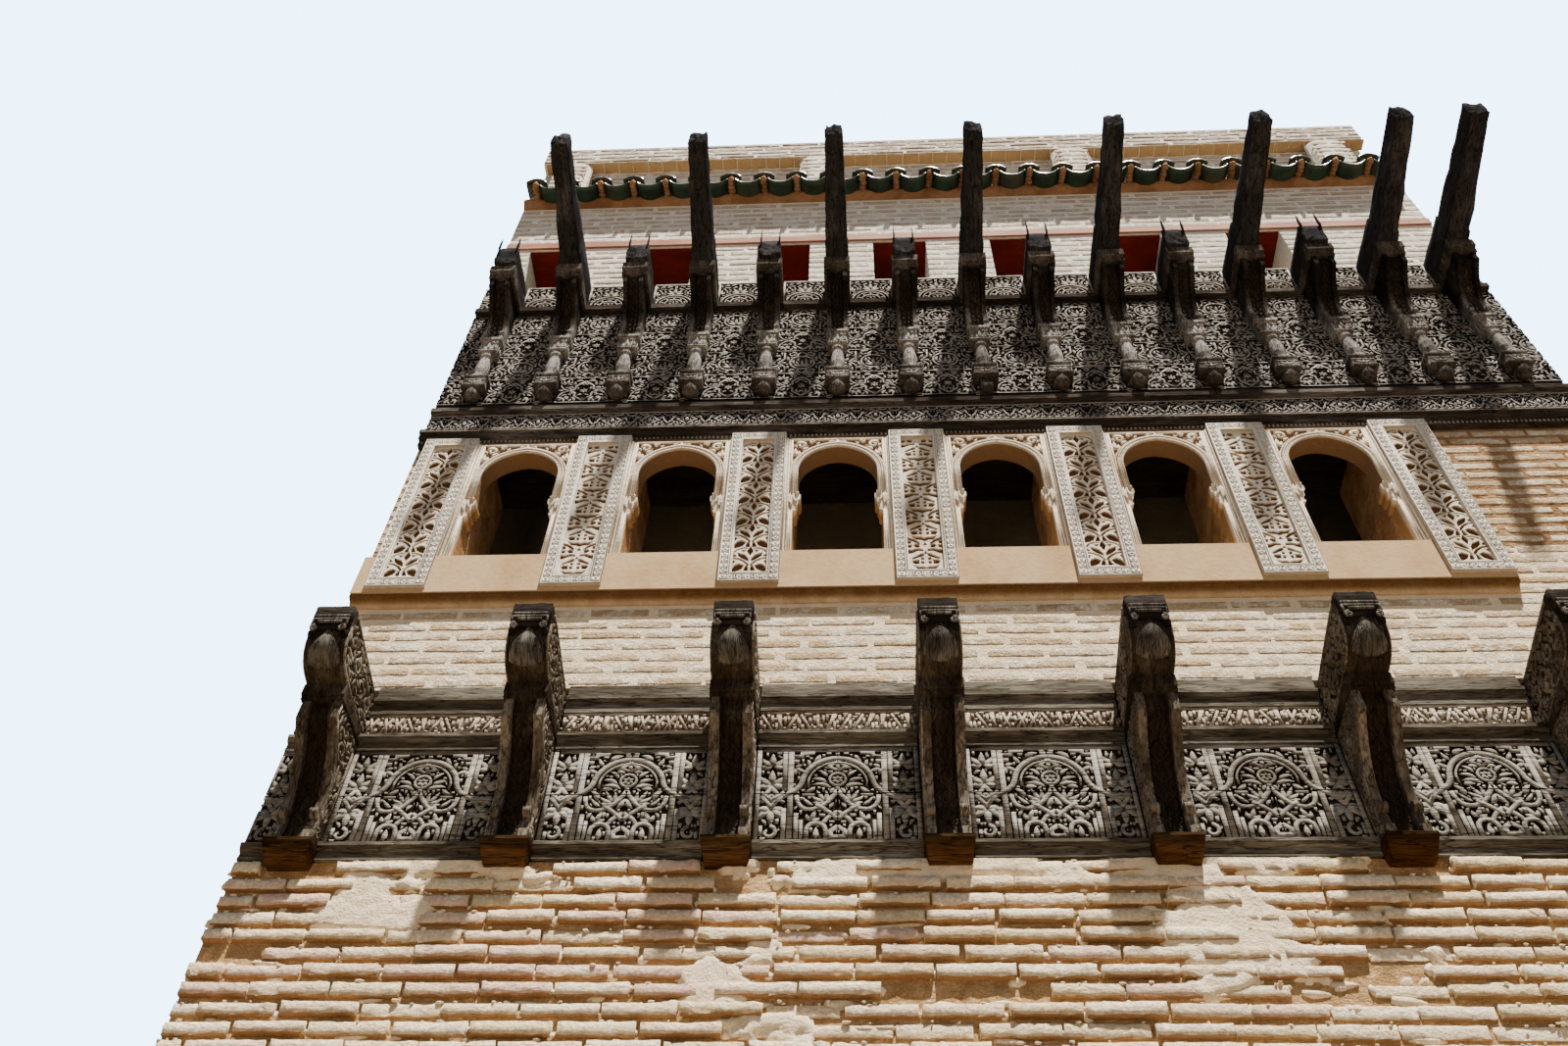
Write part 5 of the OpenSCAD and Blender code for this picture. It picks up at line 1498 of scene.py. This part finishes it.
def build_spandrels():
    """Leaf carving over each arch, and rolls on its moulding."""
    rng = np.random.default_rng(9)
    high = FASCIA_Z - 0.026 - ARCH_Z
    field = Carving(0.0, HEAD_HALF, -0.10, high, 0.012, gap=0.0030)

    def over_arch(u, v):
        clear = (u + ARCH_SHIFT) ** 2 + max(v - ARCH_STILT, 0) ** 2 > (ARCH_R + 0.034) ** 2
        return clear and u < HEAD_HALF - 0.014 and v < high - 0.012

    field.draw("strap 10  W-7 -100  W-7 H \n strap 10  0 H-6  W H-6")
    field.strap(arch_line(0.040, -0.09), 0.007)
    field.draw("""
        scroll 12 30 30 1.1  198 340
        scroll 9 17 180 -1  140 370
        leaf 18 0.3  168 340  226 378
        palmette 72 90 3 50 0.34  230 236
        palmette 20 90 3 150 0.4  0 368
        """)
    field.fill(rng, (0.052, 0.040, 0.028), 500, fat=0.36, allowed=over_arch)
    rolls = Carving(0.0, HEAD_HALF, -0.11, high, 0.006, cell=0.01)
    for extra, width, top in ((0.004, 0.007, 1.0), (0.015, 0.005, 0.5), (0.026, 0.007, 1.0)):
        rolls.strap(arch_line(extra, -0.100), width, top=top)
    rolls.draw("leaf 22 0  0 336  0 378 \n leaf 12 0.3  4 336  26 362")
    units = [(work.shape(), x, ARCH_Z, HEAD_OUT + out) for x in WINDOWS for work, out in ((field, 0.0), (rolls, 0.014))]
    carve("spandrel_carving", units, "stucco_spandrel", "carved_stucco")


def build_jamb_trim():
    """Upright rolls beside each pilaster and a curled horn at each arch foot."""
    high = FASCIA_Z - WINDOW_Z - 0.030
    jamb = (BAY_W - PILASTER_W) / 2
    strips = []
    for relief, out, lines in ((0.0055, 0.053, ((0.0045, high, 0.0055),)), (0.0045, 0.044, ((0.0195, high, 0.0050),)),
                               (0.0045, HEAD_OUT, ((0.0305, 0.355, 0.0040), (0.0415, 0.355, 0.0050)))):
        work = Carving(-0.06, 0.05, 0.0, high, relief, cell=0.02)
        for u, top, width in lines:
            work.strap([(-u, 0.0), (-u, top)], width)
        strips.append((work, out))
    horn = Carving(-0.09, 0.05, 0.0, high, 0.012, cell=0.02)
    horn.draw("""
        scroll 8 14 200 1.2  -64 512
        bend 9 5  -52 510  -46 455  -66 425
        leaf 18 0.15  -46 500  -44 385
        leaf 12 0.1  -36 500  -28 405
        """)
    strips.append((horn, HEAD_OUT))
    units = []
    for x in WINDOWS:
        for side in (-1, 1):
            for work, out in strips:
                points, quads = work.shape(False)
                if side < 0:
                    points, quads = points * (-1, 1, 1), quads[:, ::-1]
                units.append(((points, quads), x + side * jamb, WINDOW_Z, out))
    carve("jamb_trim", units, "stucco_trim", "carved_stucco")

# Lower brackets and upper corbels: sizes read from the frame
RISE = math.tan(math.radians(10.5))
BEAM_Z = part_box("lower_beams")[0].z
BEAM_W = 0.168
BEAM_FRONT = 0.440
NOSE_W, NOSE_H = 0.118, 0.136
NOSE_START = BEAM_FRONT - NOSE_W
PLATE_Z = BEAM_Z + NOSE_START * RISE + NOSE_H
CHEEK_SPAN = 0.166
CHEEK_Z = FRIEZE_Z + 0.042
CHEEK_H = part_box("bracket_caps")[0].z - CHEEK_Z
CORBEL_W = 0.148
BUD_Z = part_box("corbel_blocks")[0].z
BUD_H = 0.108
CORBEL_BLOCK_Z = BUD_Z + BUD_H
CAPITAL_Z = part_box("corbel_colonnettes")[1].z - 0.148
CORBEL_CHEEK_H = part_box("corbel_cheeks")[1].z - CHEEK_FOOT_Z
BARE_CORBEL = 7
# Curved fronts: stem, reach, height, head and knob
CHEEK_CURVE = (0.082, 0.268, CHEEK_H, CHEEK_H * 0.16, CHEEK_H * 0.22)
BRACKET_CURVE = (0.056, 0.242, CHEEK_H, CHEEK_H * 0.1, CHEEK_H * 0.22)
CORBEL_CURVE = (0.052, 0.248, CORBEL_CHEEK_H, CORBEL_CHEEK_H * 0.12, CORBEL_CHEEK_H * 0.14)


def worn_board(wide, deep, high, wobble, seed):
    """A board with broken edges, its back at y = 0 and its foot at z = 0."""
    board = block((wide, deep, high), (0, -deep / 2, high / 2))
    bpy.ops.mesh.select_all(action="SELECT")
    bpy.ops.mesh.bevel(offset=min(deep, high) * 0.12, segments=1)
    for i in range(1, 8):
        cut(((i / 8 - 0.5) * wide, 0, 0), (1, 0, 0))
    roughen(wobble, seed, 0.1)
    return take_shape(board)


def round_roll(radius, length):
    """A round roll along X with softened ends, on the origin."""
    bpy.ops.object.select_all(action="DESELECT")
    bpy.ops.mesh.primitive_cylinder_add(vertices=18, radius=radius, depth=length, location=(0, 0, 0))
    made = bpy.context.object
    bpy.ops.transform.rotate(value=math.pi / 2, orient_axis="Y", center_override=(0, 0, 0))
    bpy.ops.object.transform_apply()
    to_mode("EDIT")
    bpy.ops.mesh.select_all(action="SELECT")
    bpy.ops.mesh.bevel(offset=radius * 0.25, segments=2)
    return take_shape(made)


def shell_sheet(x):
    """The fluted shell that swells over the nose of a beam, from its hinge down to a scalloped lip."""
    ribs, steps = 15, 12
    s, phi = np.meshgrid(np.linspace(0, 1, steps), np.linspace(-1, 1, ribs * 3 + 1), indexing="ij")
    rib = np.abs(np.sin(math.pi * ribs * (phi + 1) / 2)) ** 0.6
    half = 0.010 + 0.062 * np.sin(np.minimum(s / 0.80, 1) * math.pi / 2)
    swell = 0.002 + rib * (0.003 + 0.008 * np.sin(math.pi * np.clip(s, 0.1, 0.9)))
    swell = swell + 0.024 * (1 - phi ** 2) * np.sin(math.pi * np.clip(s * 0.9, 0.04, 1)) ** 0.8
    swell = np.where((np.abs(phi) > 0.999) | (s > 0.999), -0.004, swell)
    reach = s * (0.98 - 0.16 * phi ** 2 + 0.04 * rib)
    a = np.radians(92 - 72 * np.clip(reach, 0, 1))
    out = NOSE_START + (NOSE_W + swell) * np.sin(a)
    z = BEAM_Z + NOSE_START * RISE + NOSE_H - (NOSE_H + swell) * np.cos(a) + 0.018 * (1 - np.clip(s * 4, 0, 1))
    return sheet(np.stack([x + half * phi, FACE_Y - out, z], -1))


def beam_side_unit(rng):
    """Running scrolls for the side of a beam end, drawn outwards along it."""
    work = Carving(0.0, 0.420, 0.0, 0.262, 0.007, gap=0.0020)
    t = np.radians(np.linspace(10, 90, 7))
    nose = np.stack([NOSE_START + (NOSE_W - 0.012) * np.sin(t), NOSE_H - (NOSE_H - 0.012) * np.cos(t)], 1)
    nose[:, 1] -= (nose[:, 0] - NOSE_START) * RISE
    work.strap(np.concatenate([[(0.010, 0.012)], nose, [(BEAM_FRONT - 0.012, 0.175)]]), 0.010)
    work.draw("strap 12  10 252  415 252")
    for u, turn in ((0.070, 1), (0.170, -1), (0.270, 1)):
        work.scroll((u, 0.130 + 0.012 * turn), 0.046, 90 * turn, 1.25 * turn, 0.012)
        work.palmette((u + 0.050, 0.130 - 0.050 * turn), 90 - 60 * turn, 0.052, 3, 80, 0.36)
    work.scroll((0.360, 0.160), 0.034, 200, -1.2, 0.010)

    def within(u, v):
        edge = math.sin(math.acos(np.clip(1 - v / NOSE_H, -1, 1))) - 0.12
        return v < 0.244 and (u < NOSE_START or (u - NOSE_START) / NOSE_W < edge)

    work.fill(rng, (0.046, 0.034, 0.024), 260, fat=0.36, allowed=within)
    return work.shape(False)


def curved_front(v, stem, reach, high, head, knob):
    """How far a bracket's curved front stands out at a height, and its slope.

    It runs from its stem over a knob out to its reach under the head.
    """
    tall, wide = high - head - knob, reach - stem
    radius = tall / math.sin(2 * math.atan(wide / tall))
    up = np.clip(v - knob, 0, tall)
    drop = np.sqrt(radius ** 2 - up ** 2)
    return stem + radius - drop, up / drop


def cheek_unit(rng):
    """A leaf in a curved frame for the side of a bracket's cheek, drawn outwards."""
    work = Carving(0.0, 0.262, 0.0, CHEEK_H - 0.004, 0.006, gap=0.0022)

    def front(v):
        return curved_front(v, *CHEEK_CURVE)[0]

    v = np.linspace(0.02, CHEEK_H - 0.012, 16)
    edge = front(v)
    work.strap(np.column_stack([edge - 0.012, v]), 0.010)
    work.strap(np.column_stack([edge - 0.028, v])[2:-2], 0.005)
    work.strap([(0.010, 0.012), (0.010, CHEEK_H - 0.012)], 0.010)
    work.draw("""
        scroll 9 26 20 1.2  50 60
        scroll 9 30 200 -1.2  52 230
        scroll 11 50 220 1.3  120 440
        palmette 80 90 3 60 0.26  50 110
        palmette 110 70 5 90 0.2  60 290
        """)

    def within(u, v):
        return 0.014 < u < front(v) - 0.032 and v > 0.02

    work.fill(rng, (0.050, 0.036, 0.024), 300, fat=0.34, allowed=within)
    return work.shape(False)


def soffit_chain(x, z0, base_out, half, curve, count, relief):
    """Diamonds with leaves, one over the other, laid on the curved soffit between two cheeks."""
    high, head = curve[2:4]
    work = Carving(0.0, half, 0.0, high, relief, cell=0.01)
    tall = (high - head - 0.02) / count
    for k in range(count):
        v = 0.012 + (k + 0.5) * tall
        work.strap([(0.0, v - tall * 0.46), (half * 0.86, v), (0.0, v + tall * 0.46)], half * 0.16)
        work.leaf((0.0, v - tall * 0.24), (0.0, v + tall * 0.26), 0.0, half * 0.40)
        for way in (-tall, tall):
            work.leaf((half * 0.90, v + way * 0.50), (half * 0.55, v + way * 0.24), 0.0, half * 0.16)
    points, quads = work.shape()
    out, slope = curved_front(points[:, 1], *curve)
    lean = np.sqrt(1 + slope ** 2)
    placed = np.column_stack([x + points[:, 0], FACE_Y - base_out - out - points[:, 2] / lean,
                              z0 + points[:, 1] - points[:, 2] * slope / lean])
    return placed, quads[:, ::-1]


def build_brackets():
    """Plates, volutes, shells and carving of the lower brackets."""
    rng = np.random.default_rng(21)
    boards = [worn_board(BEAM_W, 0.030, 0.108, 0.0025, 1), worn_board(BEAM_W * 0.90, 0.022, 0.022, 0.0012, 2),
              worn_board(BEAM_W, 0.030, 0.108, 0.0035, 3), round_roll(0.021, 0.028)]
    spots = []
    end_y = FACE_Y - BEAM_FRONT
    for i, x in enumerate(AXES):
        spots += [spot(2 * (i % 2), (x, end_y, PLATE_Z + 0.049)), spot(1, (x, end_y, PLATE_Z + 0.025))]
        spots += [spot(3, (x + side * (BEAM_W / 2 - 0.014), end_y - 0.001, PLATE_Z + 0.002)) for side in (-1, 1)]
    plates = lay_copies("beam_end_plates", boards, spots, "plate_cedar", "dark_cedar")
    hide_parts("beam_end_shells")
    join_shapes("carved_shells", [shell_sheet(x) for x in AXES], "shell_cedar", "grey_cedar", smooth=True)
    shapes = []
    beam_side, cheek = beam_side_unit(rng), cheek_unit(rng)
    for x in AXES:
        for side in (-1, 1):
            for unit, span, z, rise in ((beam_side, BEAM_W, BEAM_Z, RISE), (cheek, CHEEK_SPAN, CHEEK_Z, 0)):
                shapes.append(set_shape(unit, (x + side * span / 2, FACE_Y, z), (0, -1, rise), UP, (side, 0, 0)))
    join_shapes("bracket_carving", shapes, "bracket_carving", "grey_cedar")
    # Painted shade: the soffit carving takes the darker finish of the brackets, not the carving's lighter one
    chains = [soffit_chain(x, CHEEK_Z, 0.0, 0.047, BRACKET_CURVE, 6, 0.007) for x in AXES]
    join_shapes("bracket_soffit_carving", chains, "bracket_cedar", "dark_cedar")
    # A moulded rim and curls on the end plate of each beam
    plate = Carving(0.0, BEAM_W / 2, 0.0, 0.108, 0.006, cell=0.01)
    plate.draw("""
        strap 10  0 93  76 93
        strap 7  0 74  74 74  74 30
        strap 8  0 58  52 58
        scroll 8 18 100 -1.3  60 20
        """)
    shapes = [set_shape(plate.shape(), (x, end_y - 0.029, PLATE_Z - 0.003), ALONG, UP, OUT) for x in AXES]
    join_shapes("plate_carving", shapes, "shell_cedar", "grey_cedar")
    # Rosette and grooves on the underside of each beam
    under = Carving(0.0, BEAM_W / 2, 0.0, 0.30, 0.007, cell=0.01)
    under.draw("""
        strap 8  70 20  70 240
        strap 9  0 70  52 140  0 210
        palmette 80 90 5 130 0.24  0 100
        leaf 14 0.1  58 60  30 100
        leaf 14 -0.1  58 222  30 182
        """)
    shapes = [set_shape(under.shape(), (x, FACE_Y, BEAM_Z), ALONG, (0, -1, RISE), (0, -RISE, -1)) for x in AXES]
    join_shapes("beam_soffit_carving", shapes, "bracket_cedar", "dark_cedar")


def fluted_bud(x):
    """A ribbed bud under a corbel block, its point turned out and up to the block's edge."""
    turns = np.linspace(0, 2 * math.pi, 41)
    along = np.array([(-0.9, 0.10), (-0.6, 0.72), (-0.2, 1.0), (0.25, 0.96), (0.65, 0.66), (0.95, 0.26),
                      (1.12, 0.02)])
    radius = 0.045 * along[:, 1:2] * (1.0 + 0.13 * np.abs(np.sin(turns * 5)) ** 0.7)
    lean = math.radians(38)
    forward = 0.050 * along[:, :1] + 0 * turns
    lift = radius * np.sin(turns)
    out = UPPER_OUT + 0.046 + forward * math.cos(lean) - lift * math.sin(lean)
    z = CORBEL_BLOCK_Z - 0.046 + forward * math.sin(lean) + lift * math.cos(lean)
    return sheet(np.stack([x + radius * np.cos(turns), FACE_Y - out, z], -1), flip=True)


def corbel_block():
    """A square block with a lip over and under it, its back at y = 0 and its foot at z = 0."""
    made = block((CORBEL_W, 0.096, 0.122), (0, -0.048, 0.061))
    for level in (0.016, 0.024, 0.090, 0.100, 0.110):
        cut((0, 0, level), (0, 0, 1))
    for low, high, factor in ((0.023, 0.091, 0.90), (0.099, 0.111, 0.94), (-0.001, 0.001, 0.92)):
        select_parts(made, "VERT", lambda point: low < point.z < high)
        bpy.ops.transform.resize(value=(factor, factor, 1), center_override=(0, 0, 0))
    return take_shape(made)


def capital_unit():
    """Leaves and curls for the front of a corbel's capital."""
    work = Carving(0.0, CORBEL_W * 0.38, 0.0, 0.124, 0.009, cell=0.01)
    work.draw("""
        strap 10  0 6  W 6
        palmette 82 90 5 110 0.24  0 14
        scroll 8 18 200 -1.2  W-20 92
        leaf 14 0.1  W-6 16  W-12 70
        strap 9  0 116  W 116
        """)
    return work.shape()


def build_corbels():
    """Buds, capitals, mouldings and soffits of the upper corbels."""
    core = worn_board(CORBEL_W * 0.5, 0.070, BUD_H, 0.002, 5)
    ground = FACE_Y - UPPER_OUT
    spots = [spot(0, (x, ground, CORBEL_BLOCK_Z)) for x in JOISTS]
    spots.append(spot(1, (JOISTS[BARE_CORBEL], ground, BUD_Z)))
    blocks = lay_copies("moulded_blocks", [corbel_block(), core], spots, "corbel_face", "dark_cedar")
    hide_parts("corbel_blocks")
    buds = [fluted_bud(x) for i, x in enumerate(JOISTS) if i != BARE_CORBEL]
    join_shapes("fluted_buds", buds, "corbel_face", "dark_cedar", smooth=True)
    front = capital_unit()
    side_work = Carving(0.0, 0.076, 0.0, 0.124, 0.006, cell=0.01)
    side_work.draw("""
        leaf 26 0.1  38 12  38 100
        leaf 18 -0.1  20 12  12 80
        leaf 18 0.1  56 12  66 80
        """)
    moulding = Carving(0.0, CORBEL_W * 0.42, -0.2, 0.2, 0.006, cell=0.02)
    moulding.draw("""
        strap 12  0 20  W 20
        strap 8  0 80  W 80
        leaf 18 0  0 34  0 70
        leaf 14 0.2  10 36  44 66
        """)
    shapes = []
    for x in JOISTS:
        shapes.append(set_shape(front, (x, ground - 0.0787, CAPITAL_Z), ALONG, UP, OUT))
        shapes.append(set_shape(moulding.shape(), (x, ground - 0.0826, CORBEL_BLOCK_Z), ALONG, UP, OUT))
        for side in (-1, 1):
            place = (x + side * CORBEL_W * 0.38, ground, CAPITAL_Z)
            shapes.append(set_shape(side_work.shape(False), place, OUT, UP, (side, 0, 0)))
    join_shapes("corbel_carving", shapes, "pale_corbel", "grey_cedar")
    # Painted shade: the soffit carving takes the darker bracket finish, not the corbels' paler carving finish
    chains = [soffit_chain(x, CHEEK_FOOT_Z, UPPER_OUT, 0.036, CORBEL_CURVE, 5, 0.006) for x in JOISTS]
    join_shapes("corbel_soffit_carving", chains, "bracket_cedar", "dark_cedar")


def worn_timber(rng, stations, ragged=0.0, grooves=0.006):
    """A weathered beam through its stations, each (out, foot z, top z, width), with splits along its faces."""
    t, one = np.linspace(-1, 1, 5)[:-1], np.ones(4)
    ring = np.concatenate([np.stack(pair, 1) for pair in ((t, -one), (one, t), (-t, one), (-one, -t))])
    corner = np.abs(ring).min(1) > 0.99
    ring = ring * np.where(corner, 0.95, 1.0)[:, None]
    split = rng.uniform(-1, 0.25, len(ring)) * grooves
    rows = []
    for k, (out, low, high, width) in enumerate(stations):
        rough = split + rng.normal(0, grooves * 0.28, len(ring))
        x = ring[:, 0] * (width / 2 + rough)
        z = (low + high) / 2 + ring[:, 1] * ((high - low) / 2 + rough)
        reach = np.full(len(ring), out)
        if k == len(stations) - 1 and ragged:
            reach = reach - rng.uniform(0, ragged, len(ring))
        rows.append(np.stack([x, FACE_Y - reach, z], 1))
    # The end is hollowed and closed on its middle
    middle = rows[-1].mean(0) + (0, 0.3 * ragged, 0)
    inner = middle + (rows[-1] - middle) * 0.55
    inner[:, 1] += rng.uniform(-0.4, 0.8, len(ring)) * ragged
    rows += [inner, np.tile(middle, (len(ring), 1))]
    grid = np.array(rows)
    return sheet(np.concatenate([grid, grid[:, :1]], 1), flip=True)


def build_beams():
    """The long beams and the broken ones, weathered and split."""
    rng = np.random.default_rng(31)
    beams, stubs, z = [], [], JOIST_Z

    def from_wall(high, last):
        return [(o, z + o * RISE, z + high, JOIST_W) for o in (-0.02, 0.06, 0.14, 0.22, 0.30, last)]

    for i, x in enumerate(JOISTS):
        lean = rng.normal(0, 0.004)
        if i % 2 == 1 or x > AXES[6] + 0.01:
            end = 1.076 - rng.uniform(0, 0.030)
            stations = from_wall(0.302, 0.366)
            stations.append((0.372, z + 0.374 * RISE + 0.004, z + 0.300, 0.140))
            stations.append((0.374, z + 0.374 * RISE + 0.006, z + 0.226 + 0.374 * RISE, 0.134))
            for o in np.linspace(0.44, end, 12):
                thin = max(0.0, (o - 0.44) / (end - 0.44))
                step = 0.010 if o > 0.65 else 0.0
                stations.append((o, z + o * RISE + 0.006 + 0.012 * thin, z + 0.222 + o * RISE - 0.022 * thin - step,
                                 0.134 - 0.010 * thin - step + rng.normal(0, 0.0026)))
            points, quads = worn_timber(rng, stations, ragged=0.022)
            points[:, 0] += x + lean * np.clip((FACE_Y - points[:, 1] - 0.37) / 0.7, 0, 1) * 2
            beams.append((points, quads))
        else:
            stations = from_wall(0.272, 0.340)
            stations.append((0.348, z + 0.350 * RISE, z + 0.215, 0.140))
            points, quads = worn_timber(rng, stations, ragged=0.012)
            points[:, 0] += x
            stubs.append((points, quads))
            for side in (-1, 1):
                tip = z + rng.uniform(0.36, 0.412)
                spike = [(0.345, z + 0.20, z + 0.300, 0.010), (0.366, z + 0.24, z + 0.318, 0.010)]
                points, quads = worn_timber(rng, spike, ragged=0.004, grooves=0.001)
                high = points[:, 2] > z + 0.29
                points[high, 2] = tip - (points[high, 1] - points[high, 1].min()) * 2.2
                points[:, 0] = x + side * 0.060 + points[:, 0] * np.where(high, 0.35, 1.0)
                stubs.append((points, quads))
    long_piece = join_shapes("weathered_long_beams", beams, "black_cedar", "black_cedar")
    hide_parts("long_beams")
    stub_piece = join_shapes("weathered_stubs", stubs, "black_cedar", "black_cedar")
    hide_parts("broken_stubs")

# Roof edge: sizes read from the frame
TILE_PITCH = 0.245
EAVE_SLOPE = math.radians(15)
EAVE_REACH = 0.196
TILE_THICK = 0.013
PAN_R, COVER_R = 0.125, 0.100
PIER_W = 0.300
PIERS = [RIGHT_X - 0.35 * BAY_W - k * 1.97 for k in range(4)]


def barrel_tile(radius, length, upward, seed):
    """A curved slice of a tapered pipe along -Y from the origin, open below, or above where it isn't upward."""
    bpy.ops.object.select_all(action="DESELECT")
    bpy.ops.mesh.primitive_cone_add(vertices=40, radius1=radius, radius2=radius * 0.94, depth=length,
                                    end_fill_type="NOTHING", location=(0, 0, 0))
    tile = bpy.context.object
    tile.rotation_euler = (math.pi / 2, 0, 0)
    tile.location = (0, -length / 2, 0)
    bpy.ops.object.transform_apply()
    to_mode("EDIT")
    for i in range(1, 5):
        cut((0, -length * i / 5, 0), (0, 1, 0))
    level = (0.52 if upward else -0.52) * radius
    cut((0, 0, level), (0, 0, 1), clear_inner=upward, clear_outer=not upward)
    roughen(0.0016, seed)
    to_mode("OBJECT")
    thick = tile.modifiers.new("thick", "SOLIDIFY")
    thick.thickness = TILE_THICK
    bpy.ops.object.modifier_apply(modifier="thick")
    to_mode("EDIT")
    bpy.ops.mesh.select_all(action="SELECT")
    bpy.ops.mesh.normals_make_consistent(inside=False)
    to_mode("OBJECT")
    # The outer end hangs lower
    tile.rotation_euler = (EAVE_SLOPE, 0, 0)
    bpy.ops.object.transform_apply()
    return take_shape(tile)


def build_eave():
    """Barrel tiles in two layers on a scalloped bed of mortar."""
    rng = np.random.default_rng(41)
    length = EAVE_REACH / math.cos(EAVE_SLOPE)
    tiles = [barrel_tile(COVER_R, length - 0.018, True, seed) if seed % 2 == 0 else
             barrel_tile(PAN_R, length + 0.006, False, seed) for seed in (1, 2, 3, 4)]
    base_z = EAVE_Z + 0.052
    count = int((RIGHT_X - LEFT_X) / TILE_PITCH)
    x0 = -count * TILE_PITCH / 2
    pans, covers, beds = [], [], [x0 + (k + 0.25) * TILE_PITCH for k in range(count)]
    back_y = FACE_Y + 0.004
    for x in beds:
        jog = rng.normal(0, 0.003)
        covers.append(spot(int(rng.integers(2)) * 2 + 1, (x, back_y, base_z + 0.032 + rng.normal(0, 0.002)),
                           swing=rng.normal(0, 0.012)))
        pans.append(spot(int(rng.integers(2)) * 2,
                         (x + TILE_PITCH / 2 + jog, back_y, base_z + 0.115 + rng.normal(0, 0.002)),
                         swing=rng.normal(0, 0.012)))
    lay = lay_copies("glazed_pans", tiles, pans, "green_glaze", "green_tile", smooth=True)
    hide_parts("eave_tiles")
    lay_copies("cover_tiles", tiles, covers, "cover_clay", "green_tile", smooth=True)
    # Mortar between the pans, and the bed that they lie on
    lumps = mortar_lumps(80)
    spots = []
    for x in beds:
        for out in (0.020, 0.053, 0.086, 0.119, 0.152, 0.178):
            number = int(rng.integers(4))
            place = (x + rng.uniform(-0.004, 0.004), FACE_Y - out, base_z - out * math.tan(EAVE_SLOPE) + 0.034)
            spots.append(spot(number, place, (rng.uniform(0.046, 0.058), 0.052, rng.uniform(0.062, 0.072))))
    lay_copies("eave_mortar", lumps, spots, "eave_plaster", "flush_brick", smooth=True)
    x = np.linspace(LEFT_X + 0.002, RIGHT_X - 0.002, 240)
    rows = []
    for out, up in ((-0.004, 0.071), (0.058, 0.071), (0.056, 0.050), (0.040, 0.026), (0.016, 0.004), (-0.004, 0.0)):
        wave = rng.normal(0, 0.0022, len(x)) * (0 < out < 0.058)
        rows.append(np.stack([x, FACE_Y - out - wave, EAVE_Z + up + wave], -1))
    bed = join_shapes("eave_bed", [sheet(np.array(rows))], "eave_plaster", "flush_brick", smooth=True)
    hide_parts("eave_board")


def build_piers():
    """Brick piers on the parapet with rounded edges, their brick showing in fine lines."""
    rng = np.random.default_rng(47)
    low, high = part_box("parapet_piers")
    tall, deep = high.z - low.z, high.y - low.y
    pier = block((PIER_W, deep, tall), (0, deep / 2, tall / 2))
    bpy.ops.mesh.select_all(action="SELECT")
    bpy.ops.mesh.bevel(offset=0.085, segments=6)
    spots = [spot(0, (x, low.y, low.z)) for x in PIERS]
    piers = lay_copies("rounded_piers", [take_shape(pier)], spots, "white_mortar", "flush_brick", smooth=True)
    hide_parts("parapet_piers")
    plain = plain_bricks(range(110, 114))
    half = PIER_W / 2 - 0.02
    bricks = []
    for x in PIERS:
        bricks += brick_spots(rng, x - half, x + half, low.z, high.z - 0.09, len(plain), out=FACE_Y - low.y, **FLUSH)
    lay_copies("pier_bricks", plain, bricks, "sun_brick", "flush_brick")


def build_parapet():
    """Brick on the soffit of the coping, and a worn crest along its top."""
    rng = np.random.default_rng(43)
    # Bricks on edge across the soffit, turned to face down
    edged = [(np.stack([points[:, 0] / BRICK_L, points[:, 2] / BRICK_H * 0.088, (points[:, 1] + 0.01) * 0.3], 1),
              [f[::-1] for f in faces]) for points, faces in plain_bricks(range(90, 94), cuts=3)]
    laid = []
    x = LEFT_X + 0.02
    while x < RIGHT_X - 0.05:
        wide = rng.uniform(0.105, 0.125)
        laid.append((x + wide / 2, wide))
        x += wide + 0.004
    spots = [spot(k % 4, (x, FACE_Y + 0.050, COPING_Z - 0.0025), (wide, 1, 1), tone=rng.uniform(0, 1))
             for k, (x, wide) in enumerate(laid)]
    lay_copies("coping_soffit_bricks", edged, spots, "soffit_brick", "flush_brick")
    # A crest of mortar, and mortar that has run over the arrises under it and along the string over the vents
    crest = []
    for _ in range(170):
        x = rng.uniform(LEFT_X + 0.06, RIGHT_X - 0.06)
        crest.append(spot(int(rng.integers(4)), (x, FACE_Y + 0.025, TOP_Z - 0.004),
                          (rng.uniform(0.08, 0.26), 0.05, rng.uniform(0.012, 0.034)), tone=0.9))
    for _ in range(230):
        x = rng.uniform(LEFT_X + 0.06, RIGHT_X - 0.06)
        z = rng.choice([TOP_Z - 0.07, COPING_Z + 0.03, COPING_Z + 0.15])
        crest.append(spot(int(rng.integers(4)), (x, FACE_Y, z + rng.normal(0, 0.02)),
                          (rng.uniform(0.04, 0.16), 0.014, rng.uniform(0.014, 0.03)), rng.normal(0, 0.1), 0.9))
    lay_copies("crest_mortar", mortar_lumps(90), crest, "white_mortar", "flush_brick", smooth=True)


build_camera()
build_lights()
build_floor()
dress_nodes()
build_front_bricks()
build_hidden_bricks()
build_friezes()
build_pilasters()
build_spandrels()
build_jamb_trim()
build_brackets()
build_corbels()
build_beams()
build_eave()
build_parapet()
build_piers()
